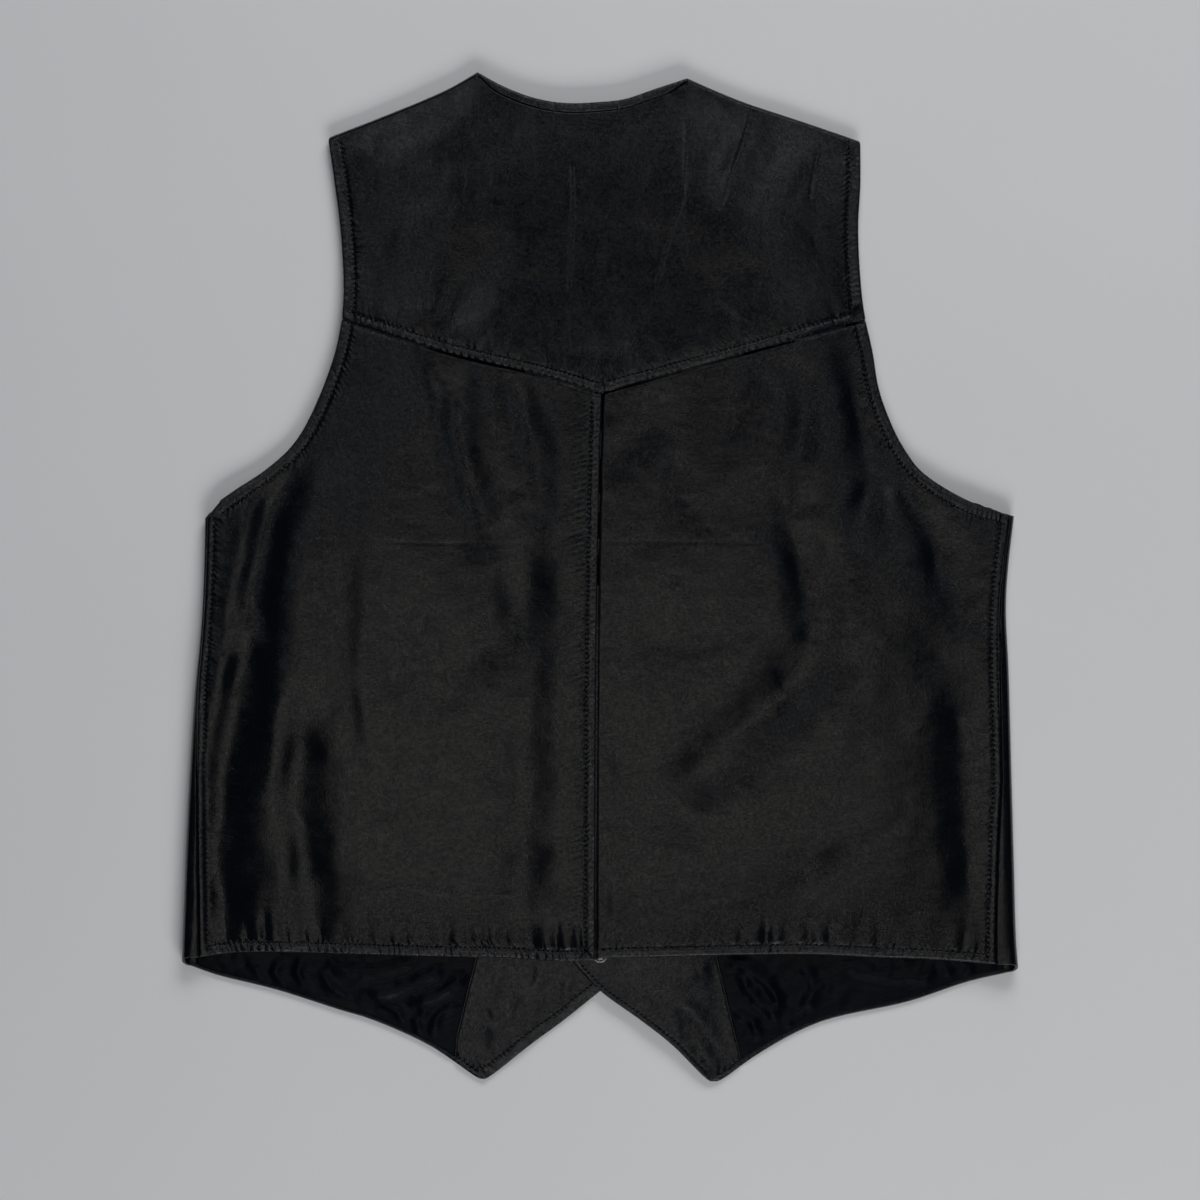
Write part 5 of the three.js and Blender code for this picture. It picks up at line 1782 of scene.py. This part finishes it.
@dataclass
class Snaps:
    """Four fastened snaps: a cap in the outer front, a post and a ring inside."""

    count: int = 4
    lowest_y: float = -0.261
    spacing: float = 0.11
    cap_radius: float = 0.0055
    post_radius: float = 0.002
    ring_radius: float = 0.0054
    segments: int = 48

    def profile(self) -> list[tuple[float, float]]:
        """The turned outline, as radius and height, from the cap's middle to the ring's."""
        base = 4 * LAYER
        outer, bead = self.ring_radius, 0.00042
        rim = [
            (outer - bead + bead * math.cos(a), base + bead + bead * math.sin(a))
            for a in np.linspace(-0.5 * math.pi, 0.5 * math.pi, 9)
        ]
        socket = [(0.0042, base + 0.0008), (0.0038, base + 0.0005), (0.0033, base + 0.00042),
                  (0.003, base + 0.0007), (0.0026, base + 0.0009), (0.0022, base + 0.00088),
                  (0.0019, base + 0.0006), (0.0017, base + 0.0003), (0.0, base + 0.00028)]
        cap = [(0.0, 0.00015), (self.cap_radius - 0.0005, 0.00015), (self.cap_radius, 0.00045),
               (self.cap_radius, LEATHER), (self.post_radius, LEATHER), (self.post_radius, base)]
        return cap + rim + socket

    def build(self, material: bpy.types.Material) -> None:
        """Turns each snap and dresses it."""
        for index in range(self.count):
            name = f"snap_{index + 1}"
            piece = placed_object(name + "_metal", self._mesh(self.lowest_y + index * self.spacing))
            dressed(piece, material, Finish.METAL, name)
        log.info("%d snaps", self.count)

    def _mesh(self, y: float) -> bpy.types.Mesh:
        """The turned mesh about a point of the centre line."""
        profile = self.profile()
        points, faces = [], []
        for radius, z in profile[1:-1]:
            for step in range(self.segments):
                turn = 2 * math.pi * step / self.segments
                points.append((radius * math.cos(turn), y + radius * math.sin(turn), z))
        rings = len(profile) - 2
        for ring in range(rings - 1):
            for step in range(self.segments):
                a = ring * self.segments + step
                b = ring * self.segments + (step + 1) % self.segments
                faces.append((a, b, b + self.segments, a + self.segments))
        low, high = len(points), len(points) + 1
        points += [(0.0, y, profile[0][1]), (0.0, y, profile[-1][1])]
        last = (rings - 1) * self.segments
        for step in range(self.segments):
            after = (step + 1) % self.segments
            faces += [(low, after, step), (high, last + step, last + after)]
        mesh = bpy.data.meshes.new("snap")
        mesh.from_pydata(points, [], faces)
        mesh.shade_smooth()
        mesh.set_sharp_from_angle(angle=math.radians(50))
        return mesh


class Nodes:
    """A tree of nodes, with short ways to add and join them."""

    def __init__(self, tree: bpy.types.NodeTree) -> None:
        """Keeps the tree that the nodes go into."""
        self.tree = tree

    def add(self, kind: str, inputs: dict | None = None, **values) -> bpy.types.Node:
        """A node with its properties, and its inputs set or joined by name or number.

        Args:
            kind: The node's type.
            inputs: What each input is given.
            values: The node's properties.

        Returns:
            The node.
        """
        node = self.tree.nodes.new(kind)
        for name, value in values.items():
            setattr(node, name, value)
        for key, value in (inputs or {}).items():
            self.give(node.inputs[key], value)
        return node

    def give(self, socket: bpy.types.NodeSocket, value: object) -> None:
        """Joins a socket to an output, or sets its value."""
        if isinstance(value, bpy.types.NodeSocket):
            self.tree.links.new(value, socket)
        else:
            socket.default_value = value

    def maths(self, operation: str, first: object, second: object = 0.0) -> bpy.types.NodeSocket:
        """The result of a sum."""
        return self.add("ShaderNodeMath", {0: first, 1: second}, operation=operation).outputs[0]

    def product(self, *factors: object) -> bpy.types.NodeSocket:
        """The product of two or more values."""
        return reduce(lambda first, second: self.maths("MULTIPLY", first, second), factors)

    def total(self, *terms: object) -> bpy.types.NodeSocket:
        """The sum of two or more values."""
        return reduce(lambda first, second: self.maths("ADD", first, second), terms)


class StitchTree(Nodes):
    """A tree of geometry nodes that sews a thread along lines of edges."""

    SIZES = {"Pitch": 0.0033, "Stitch Length": 0.0027, "Thread Radius": 0.0003, "Arch": 0.00042,
             "Wobble": 0.1, "Seed": 5}
    LENGTH_FOR_PITCH = 0.8
    SUNK_RADII = 1.2

    def __init__(self, thread: bpy.types.Material) -> None:
        """Builds the tree with its named inputs."""
        super().__init__(bpy.data.node_groups.new("stitch run", "GeometryNodeTree"))
        self.thread = thread
        self.sockets = {}
        face = self.tree.interface
        face.new_socket("Geometry", in_out="OUTPUT", socket_type="NodeSocketGeometry")
        face.new_socket("Geometry", in_out="INPUT", socket_type="NodeSocketGeometry")
        for name, value in self.SIZES.items():
            kind = "NodeSocketInt" if isinstance(value, int) else "NodeSocketFloat"
            socket = face.new_socket(name, in_out="INPUT", socket_type=kind)
            socket.default_value = value
            self.sockets[name] = socket.identifier
        self._join()

    def _stitch(self, given: bpy.types.bpy_prop_collection) -> bpy.types.NodeSocket:
        """One arched stitch with sunk ends, from the tree's inputs."""
        half = self.product(given["Stitch Length"], 0.5)
        back = self.product(half, -1.0)
        sunk = self.product(given["Thread Radius"], -self.SUNK_RADII)
        start, middle, end = (
            self.add("ShaderNodeCombineXYZ", place).outputs[0]
            for place in ({"X": back, "Z": sunk}, {"Z": given["Arch"]}, {"X": half, "Z": sunk})
        )
        bow = self.add("GeometryNodeCurveQuadraticBezier",
                       {"Resolution": 4, "Start": start, "Middle": middle, "End": end})
        ring = self.add("GeometryNodeCurvePrimitiveCircle",
                        {"Resolution": 6, "Radius": given["Thread Radius"]})
        return self.add("GeometryNodeCurveToMesh", {
            "Curve": bow.outputs[0], "Profile Curve": ring.outputs["Curve"], "Fill Caps": True,
        }).outputs[0]

    def _join(self) -> None:
        """Joins the nodes: even points on the line, one arched thread on each, all realized."""
        given = self.add("NodeGroupInput").outputs
        curve = self.add("GeometryNodeMeshToCurve", {"Mesh": given["Geometry"]}).outputs["Curve"]
        even = self.add("GeometryNodeResampleCurve",
                        {"Curve": curve, "Length": given["Pitch"]}, mode="LENGTH")
        tangent = self.add("GeometryNodeInputTangent").outputs[0]
        aim = self.add("FunctionNodeAlignRotationToVector", {"Vector": tangent}, axis="X", pivot_axis="Z")
        copies = self.add("GeometryNodeInstanceOnPoints", {
            "Points": even.outputs[0], "Instance": self._stitch(given), "Rotation": aim.outputs[0],
        })
        chance = self.add("FunctionNodeRandomValue", {
            2: self.product(given["Wobble"], -1.0), 3: given["Wobble"], "Seed": given["Seed"],
        }, data_type="FLOAT")
        angle = self.add("ShaderNodeCombineXYZ", {"Z": chance.outputs[1]}).outputs[0]
        turned = self.add("GeometryNodeRotateInstances", {"Instances": copies.outputs[0], "Rotation": angle})
        real = self.add("GeometryNodeRealizeInstances", {0: turned.outputs[0]})
        soft = self.add("GeometryNodeSetShadeSmooth", {0: real.outputs[0]})
        dressed = self.add("GeometryNodeSetMaterial", {"Geometry": soft.outputs[0], "Material": self.thread})
        self.add("NodeGroupOutput", {0: dressed.outputs[0]})

    def sew(self, name: str, runs: Sequence[tuple[Array, float]], seed: int) -> bpy.types.Object:
        """Sews along lines in space and keeps the result as a plain mesh.

        Args:
            name: The name of the piece.
            runs: Each line's points, and the pitch of its stitches.
            seed: The seed of the stitches' wobble.

        Returns:
            The stitches as one object.
        """
        parts = []
        for index, (points, pitch) in enumerate(runs):
            mesh = bpy.data.meshes.new("stitch line")
            mesh.from_pydata([tuple(p) for p in points], [(i, i + 1) for i in range(len(points) - 1)], [])
            line = placed_object(f"{name}_line_{index}", mesh)
            sewing = line.modifiers.new("sewing", "NODES")
            sewing.node_group = self.tree
            sewing[self.sockets["Pitch"]] = pitch
            sewing[self.sockets["Stitch Length"]] = self.LENGTH_FOR_PITCH * pitch
            sewing[self.sockets["Seed"]] = seed + index
            bpy.context.view_layer.update()
            graph = bpy.context.evaluated_depsgraph_get()
            parts.append(bpy.data.meshes.new_from_object(line.evaluated_get(graph)))
            line.modifiers.remove(sewing)
            bpy.data.objects.remove(line)
            bpy.data.meshes.remove(mesh)
        return placed_object(name, self._together(parts, self.thread))

    @staticmethod
    def _together(parts: Sequence[bpy.types.Mesh], thread: bpy.types.Material) -> bpy.types.Mesh:
        """One mesh of several, in the thread's material."""
        points, faces = [], []
        for part in parts:
            start = len(points)
            points += [tuple(vertex.co) for vertex in part.vertices]
            faces += [tuple(start + index for index in face.vertices) for face in part.polygons]
        mesh = bpy.data.meshes.new("stitches")
        mesh.from_pydata(points, [], faces)
        mesh.materials.append(thread)
        mesh.shade_smooth()
        for part in parts:
            bpy.data.meshes.remove(part)
        return mesh


class Sketch(Nodes):
    """A material's nodes, with its textures and its shader."""

    def __init__(self, name: str) -> None:
        """Starts a material with a Principled shader."""
        self.material = bpy.data.materials.new(name)
        self.material.use_nodes = True
        super().__init__(self.material.node_tree)
        self.shader = self.tree.nodes["Principled BSDF"]
        self.place = self.add("ShaderNodeTexCoord").outputs["Object"]

    def attribute(self, name: str) -> bpy.types.NodeSocket:
        """A value that the mesh carries at its points."""
        return self.add("ShaderNodeAttribute", attribute_name=name).outputs["Fac"]

    def set(self, name: str, value: object) -> None:
        """Sets or joins an input of the shader."""
        self.give(self.shader.inputs[name], value)

    def noise(self, scale: float, detail: float = 3.0, place: object = None, roughness: float = 0.5,
              distortion: float = 0.0) -> bpy.types.NodeSocket:
        """A noise's factor at a scale, in waves for each metre."""
        node = self.add("ShaderNodeTexNoise", {
            "Vector": place or self.place, "Scale": scale, "Detail": detail, "Roughness": roughness,
            "Distortion": distortion,
        })
        return node.outputs["Fac"]

    def ranged(self, value: object, low: float, high: float, to_low: float = 0.0, to_high: float = 1.0
               ) -> bpy.types.NodeSocket:
        """A value moved from one range to another."""
        node = self.add("ShaderNodeMapRange", {
            "Value": value, "From Min": low, "From Max": high, "To Min": to_low, "To Max": to_high,
        })
        return node.outputs["Result"]

    def cells(self, place: object, scale: float, stretch: tuple[float, float, float], low: float,
              high: float) -> bpy.types.NodeSocket:
        """Cells with soft dark borders: 0 on a border and 1 inside a cell."""
        laid = self.add("ShaderNodeMapping", {"Vector": place, "Scale": stretch}).outputs[0]
        node = self.add("ShaderNodeTexVoronoi", {"Vector": laid, "Scale": scale, "Randomness": 1.0},
                        feature="DISTANCE_TO_EDGE")
        return self.ranged(node.outputs["Distance"], low, high, 0.0, 1.0)

    def stretched(self, scale: tuple[float, float, float], turn: float = 0.0) -> bpy.types.NodeSocket:
        """The place, scaled and turned about Z."""
        node = self.add("ShaderNodeMapping", {
            "Vector": self.place, "Scale": scale, "Rotation": (0.0, 0.0, turn),
        })
        return node.outputs[0]

    def colours(self, value: object, stops: Sequence[tuple[float, tuple]]) -> bpy.types.NodeSocket:
        """A colour between stops, by a value."""
        node = self.add("ShaderNodeValToRGB", {"Fac": value})
        ramp = node.color_ramp
        while len(ramp.elements) < len(stops):
            ramp.elements.new(0.5)
        for element, (position, colour) in zip(ramp.elements, stops):
            element.position = position
            element.color = (*colour, 1.0)
        return node.outputs["Color"]

    def bump(self, height: object, strength: float, distance: float, normal: object = None
             ) -> bpy.types.NodeSocket:
        """A normal bent by a height."""
        node = self.add("ShaderNodeBump", {"Height": height, "Strength": strength, "Distance": distance})
        if normal is not None:
            self.give(node.inputs["Normal"], normal)
        return node.outputs["Normal"]


@dataclass(frozen=True)
class Leather:
    """Garment leather: fine grain, shallow wrinkles and softly worn edges."""

    name: str
    dark: tuple[float, float, float]
    light: tuple[float, float, float]
    worn: tuple[float, float, float]
    smooth_at: float
    rough_at: float
    grain: float = 640.0
    crease: float = 105.0
    bend: float = 0.005
    grain_height: float = 0.000036
    pebble_height: float = 0.00005
    pitch: float = 0.0033
    hole: float = 0.00105
    hole_depth: float = 0.00035
    pucker_height: float = 0.00012
    pucker_reach: float = 0.009
    puckers_a_stitch: float = 0.85
    gloss: float = 0.86
    rubbed: float = 1.35

    def sewing(self, look: Sketch, off: object) -> tuple[object, object]:
        """The stitch holes and the puckers beside the stitches.

        Args:
            look: The material's nodes.
            off: The distance from the stitches.

        Returns:
            How much of a hole there is, and the puckers' height.
        """
        count = look.attribute("stitch_count")
        along = look.product(look.maths("SUBTRACT", look.maths("FRACT", count), 0.5), self.pitch)
        aside = look.total(look.product(off, off), look.product(along, along))
        hole = look.ranged(look.maths("SQRT", aside), 0.0003, self.hole, 1.0, 0.0)
        near = look.ranged(look.maths("ABSOLUTE", off), 0.0003, self.pucker_reach, 1.0, 0.0)
        patchy = look.ranged(look.noise(95.0, 1.0), 0.4, 0.62, 0.15, 1.35)
        turn = look.total(look.product(look.noise(70.0, 0.0), 14.0),
                          look.product(count, 2 * math.pi * self.puckers_a_stitch),
                          look.product(off, 700.0))
        drawn = look.product(near, near, patchy)
        return hole, look.product(drawn, look.maths("SINE", turn), self.pucker_height)

    def material(self) -> bpy.types.Material:
        """Builds the leather's material."""
        look = Sketch(self.name)
        drift = look.add("ShaderNodeTexNoise", {"Vector": look.place, "Scale": 140.0, "Detail": 1.0})
        bent = look.add("ShaderNodeVectorMath", {
            0: drift.outputs["Color"], 1: (self.bend,) * 3, 2: look.place,
        }, operation="MULTIPLY_ADD").outputs[0]
        pores = look.cells(look.place, self.grain, (1.0, 1.25, 1.0), 0.0, 0.26)
        folds = look.cells(bent, self.crease, (1.0, 1.7, 1.0), 0.0, 0.045)
        creases = look.maths("MAXIMUM", folds, look.ranged(look.noise(38.0, 1.0), 0.42, 0.56))
        mottle = look.ranged(look.noise(460.0, 2.0, roughness=0.6), 0.36, 0.64)
        off = look.attribute("stitch_off")
        hole, drawn = self.sewing(look, off)
        tint = look.colours(look.noise(22.0, 2.0, roughness=0.6), ((0.3, self.dark), (0.72, self.light)))
        worn = look.product(look.attribute("edge_wear"), mottle, 0.7)
        colour = look.add("ShaderNodeMix", {0: worn, 6: tint, 7: (*self.worn, 1.0)}, data_type="RGBA")
        look.set("Base Color", colour.outputs[2])
        look.set("Specular IOR Level", look.product(
            look.ranged(pores, 0.0, 1.0, 0.7, 1.0), look.ranged(creases, 0.0, 1.0, 0.8, 1.0),
            look.ranged(mottle, 0.0, 1.0, 0.72, 1.22), look.ranged(hole, 0.0, 1.0, 1.0, 0.05),
            look.ranged(off, -0.0006, 0.0006, self.rubbed, 1.0), self.gloss,
        ))
        haze = look.noise(70.0, 2.0, roughness=0.65)
        look.set("Roughness", look.ranged(haze, 0.36, 0.64, self.smooth_at, self.rough_at))
        pebbles = look.product(look.noise(560.0, 2.0, roughness=0.55), self.pebble_height)
        sewn = look.maths("SUBTRACT", drawn, look.product(hole, self.hole_depth))
        height = look.total(look.product(pores, self.grain_height), pebbles, sewn)
        look.set("Normal", look.bump(height, 1.0, 1.0))
        return look.material


@dataclass(frozen=True)
class Satin:
    """Smooth lining satin, nearly black with a blue cast."""

    name: str = "lining satin"
    dark: tuple[float, float, float] = (0.0009, 0.0014, 0.0028)
    light: tuple[float, float, float] = (0.002, 0.0028, 0.005)

    def material(self) -> bpy.types.Material:
        """Builds the satin's material."""
        look = Sketch(self.name)
        look.set("Base Color", look.colours(look.noise(40.0, 4.0), ((0.35, self.dark), (0.7, self.light))))
        weave = look.noise(700.0, 2.0, look.stretched((0.2, 3.0, 1.0)))
        look.set("Roughness", look.ranged(weave, 0.35, 0.65, 0.25, 0.35))
        look.set("Specular IOR Level", 0.2)
        look.set("Sheen Weight", 0.03)
        look.set("Sheen Roughness", 0.35)
        look.set("Sheen Tint", (0.55, 0.65, 0.9, 1.0))
        crinkle = look.bump(look.noise(120.0, 3.0, roughness=0.5, distortion=0.6), 0.25, 0.0004)
        look.set("Normal", look.bump(weave, 0.1, 0.00005, crinkle))
        return look.material


@dataclass(frozen=True)
class Thread:
    """Black twisted sewing thread."""

    name: str = "sewing thread"

    def material(self) -> bpy.types.Material:
        """Builds the thread's material."""
        look = Sketch(self.name)
        twist = look.add("ShaderNodeTexWave", {"Vector": look.place, "Scale": 900.0, "Distortion": 1.0},
                      bands_direction="DIAGONAL")
        fibre = twist.outputs["Fac"]
        tints = (0.0, (0.002, 0.002, 0.002)), (1.0, (0.005, 0.005, 0.0055))
        look.set("Base Color", look.colours(fibre, tints))
        look.set("Roughness", look.ranged(fibre, 0.0, 1.0, 0.52, 0.4))
        look.set("Specular IOR Level", 0.55)
        look.set("Normal", look.bump(fibre, 0.4, 0.00008))
        return look.material


@dataclass(frozen=True)
class SnapMetal:
    """Plated brass, softly polished and a little scuffed."""

    name: str = "snap metal"

    def material(self) -> bpy.types.Material:
        """Builds the metal's material."""
        look = Sketch(self.name)
        scuffs = look.noise(900.0, 5.0, roughness=0.7)
        look.set("Base Color", look.colours(scuffs, ((0.3, (0.52, 0.5, 0.46)), (0.7, (0.74, 0.72, 0.68)))))
        look.set("Metallic", 1.0)
        look.set("Roughness", look.ranged(scuffs, 0.3, 0.7, 0.18, 0.36))
        look.set("Normal", look.bump(scuffs, 0.15, 0.00005))
        return look.material


@dataclass
class Studio:
    """The camera straight above the vest, the pale floor and the soft lights."""

    photo_centre: tuple[float, float] = (0.0, -0.0155)
    frame_breadth: float = 0.828
    lens: float = 90.0
    sensor: float = 36.0
    floor_size: float = 6.0
    floor_height: float = -0.0001

    def camera(self) -> None:
        """Sets the camera at the photograph's angle."""
        data = bpy.data.cameras.new("camera")
        data.lens, data.sensor_width, data.sensor_fit = self.lens, self.sensor, "HORIZONTAL"
        camera = bpy.data.objects.new("camera", data)
        distance = self.frame_breadth * self.lens / self.sensor
        camera.location = (*self.photo_centre, distance + 0.01)
        bpy.context.scene.collection.objects.link(camera)
        bpy.context.scene.camera = camera

    def floor(self) -> None:
        """Lays the plain pale floor."""
        half = self.floor_size / 2
        mesh = bpy.data.meshes.new("floor")
        corners = (-half, -half), (half, -half), (half, half), (-half, half)
        mesh.from_pydata([(x, y, self.floor_height) for x, y in corners], [], [(0, 1, 2, 3)])
        floor = placed_object("floor", mesh)
        look = Sketch("pale floor")
        tints = (0.3, (0.79, 0.795, 0.8)), (0.7, (0.81, 0.815, 0.82))
        look.set("Base Color", look.colours(look.noise(3.0, 3.0), tints))
        look.set("Roughness", look.ranged(look.noise(300.0, 3.0), 0.3, 0.7, 0.62, 0.7))
        look.set("Normal", look.bump(look.noise(500.0, 3.0), 0.05, 0.0001))
        mesh.materials.append(look.material)

    def light(self, name: str, place: tuple, size: tuple[float, float], power: float,
              colour: tuple = (1.0, 1.0, 1.0), glossy: bool = True) -> None:
        """Adds a soft box that looks at the vest, or a panel that looks straight down.

        Args:
            name: The light's name, which ends in panel for one that looks down.
            place: Its centre.
            size: Its breadth and depth.
            power: Its power in watts.
            colour: Its colour.
            glossy: Whether glossy surfaces mirror it.
        """
        data = bpy.data.lights.new(name, "AREA")
        data.shape, data.size, data.size_y = "RECTANGLE", *size
        data.energy, data.color = power, colour
        lamp = bpy.data.objects.new(name, data)
        lamp.location = place
        lamp.visible_glossy = glossy
        x, y, z = place
        tilt = 0.0 if name.endswith("panel") else math.atan2(math.hypot(x, y), z)
        lamp.rotation_euler = (tilt, 0.0, math.atan2(x, -y) if tilt else 0.0)
        bpy.context.scene.collection.objects.link(lamp)

    def lights(self) -> None:
        """Places the lights and the dim surroundings."""
        warm, cool = (1.0, 0.955, 0.875), (0.92, 0.96, 1.0)
        for name, place, size, power, colour in (
            ("left inner panel", (-0.37, -0.4, 2.6), (0.44, 1.12), 0.6, warm),
            ("right inner panel", (0.36, -0.24, 2.6), (0.46, 0.6), 0.34, warm),
            ("left outer panel", (-0.54, -0.32, 2.62), (0.64, 1.4), 0.42, warm),
            ("right outer panel", (0.6, -0.38, 2.62), (0.6, 1.2), 0.55, warm),
            ("middle panel", (-0.05, -0.52, 2.6), (0.22, 0.94), 0.2, warm),
            ("left north panel", (-0.68, 0.88, 2.6), (0.6, 0.86), 0.44, cool),
            ("right north panel", (0.66, 0.88, 2.6), (0.66, 0.86), 0.44, cool),
        ):
            self.light(name, place, size, power, colour)
        for side, sign in (("left", -1), ("right", 1)):
            self.light(side + " side panel", (1.34 * sign, 0.52, 2.5), (0.6, 0.42), 0.32, cool)
            self.light(side + " far panel", (0.75 * sign, 1.66, 2.55), (0.9, 0.9), 1.45, cool)
        self.light("south panel", (0.1, -1.72, 2.6), (1.5, 0.56), 1.9)
        for side, y in (("north", 2.7), ("south", -2.7)):
            self.light(side + " fill", (0.7, y, 1.5), (2.4, 1.0), 50.0, glossy=False)
            self.light(side + " strip", (0.4, y, 1.8), (2.0, 0.5), 6.0)
        world = bpy.data.worlds.new("surroundings")
        world.use_nodes = True
        background = world.node_tree.nodes["Background"]
        background.inputs["Color"].default_value = (0.36, 0.58, 1.0, 1.0)
        background.inputs["Strength"].default_value = 0.03
        bpy.context.scene.world = world

    def build(self) -> None:
        """Builds the whole studio."""
        self.camera()
        self.floor()
        self.lights()


def sew_panel(tree: StitchTree, name: str, panel: object, seed: int) -> None:
    """Sews a panel's rows of stitches on its surface.

    Args:
        tree: The tree that makes stitches.
        name: The name of the stitches' piece.
        panel: The panel, with its rows of stitches and its surface.
        seed: The seed of the stitches' wobble.
    """
    runs = []
    for row in panel.topstitches():
        plan = row.line.sampled(max(8, int(row.line.length / SEWING_STEP)))
        height = panel.surface(plan) + THREAD_LIFT
        runs.append((np.concatenate([plan, height[:, None]], 1), row.pitch))
    stitches = tree.sew(name, runs, seed)
    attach(stitches, "root")
    log.info("%s: %d faces", name, len(stitches.data.polygons))


def main() -> None:
    """Builds the vest piece by piece, and the studio round it."""
    logging.basicConfig(level=logging.INFO, format="%(name)s %(message)s")
    bpy.context.scene.view_settings.view_transform = "Standard"
    Studio().build()
    leather = Leather("black leather", (0.0012, 0.0012, 0.0014), (0.0021, 0.002, 0.0021),
                      (0.008, 0.008, 0.0085), 0.15, 0.23).material()
    facing = Leather("facing leather", (0.0018, 0.0021, 0.003), (0.0034, 0.0036, 0.0042),
                     (0.012, 0.012, 0.012), 0.18, 0.28, pebble_height=0.00009, gloss=0.95).material()
    satin, metal = Satin().material(), SnapMetal().material()
    tree = StitchTree(Thread().material())
    form, hills = BackForm(), Hills(7)
    halves = (LEFT_HALF, RIGHT_HALF)
    backs = [BackPanel(half, form, hills) for half in halves]
    yoke = Yoke(form, Hills(8))
    facings = [InnerSheet(half, Hills(9), True) for half in halves]
    linings = [InnerSheet(half, Hills(10), False) for half in halves]
    for half in halves:
        Front(half, form, hills).piece().finished(leather)
    for sheet in facings:
        sheet.piece().finished(facing)
    for sheet in linings:
        sheet.piece().finished(satin)
    for panel in backs:
        panel.piece().finished(leather)
    yoke.piece().finished(leather)
    for strip in NeckFacings(form, Hills(12)).pieces():
        strip.finished(leather)
    Snaps().build(metal)
    for seed, panel in enumerate(backs):
        sew_panel(tree, "stitches_" + panel.name, panel, 100 + 10 * seed)
    sew_panel(tree, "stitches_back_yoke", yoke, 130)
    for seed, sheet in enumerate(facings):
        sew_panel(tree, "stitches_" + sheet.name, sheet, 140 + 10 * seed)


if __name__ == "__main__":
    main()
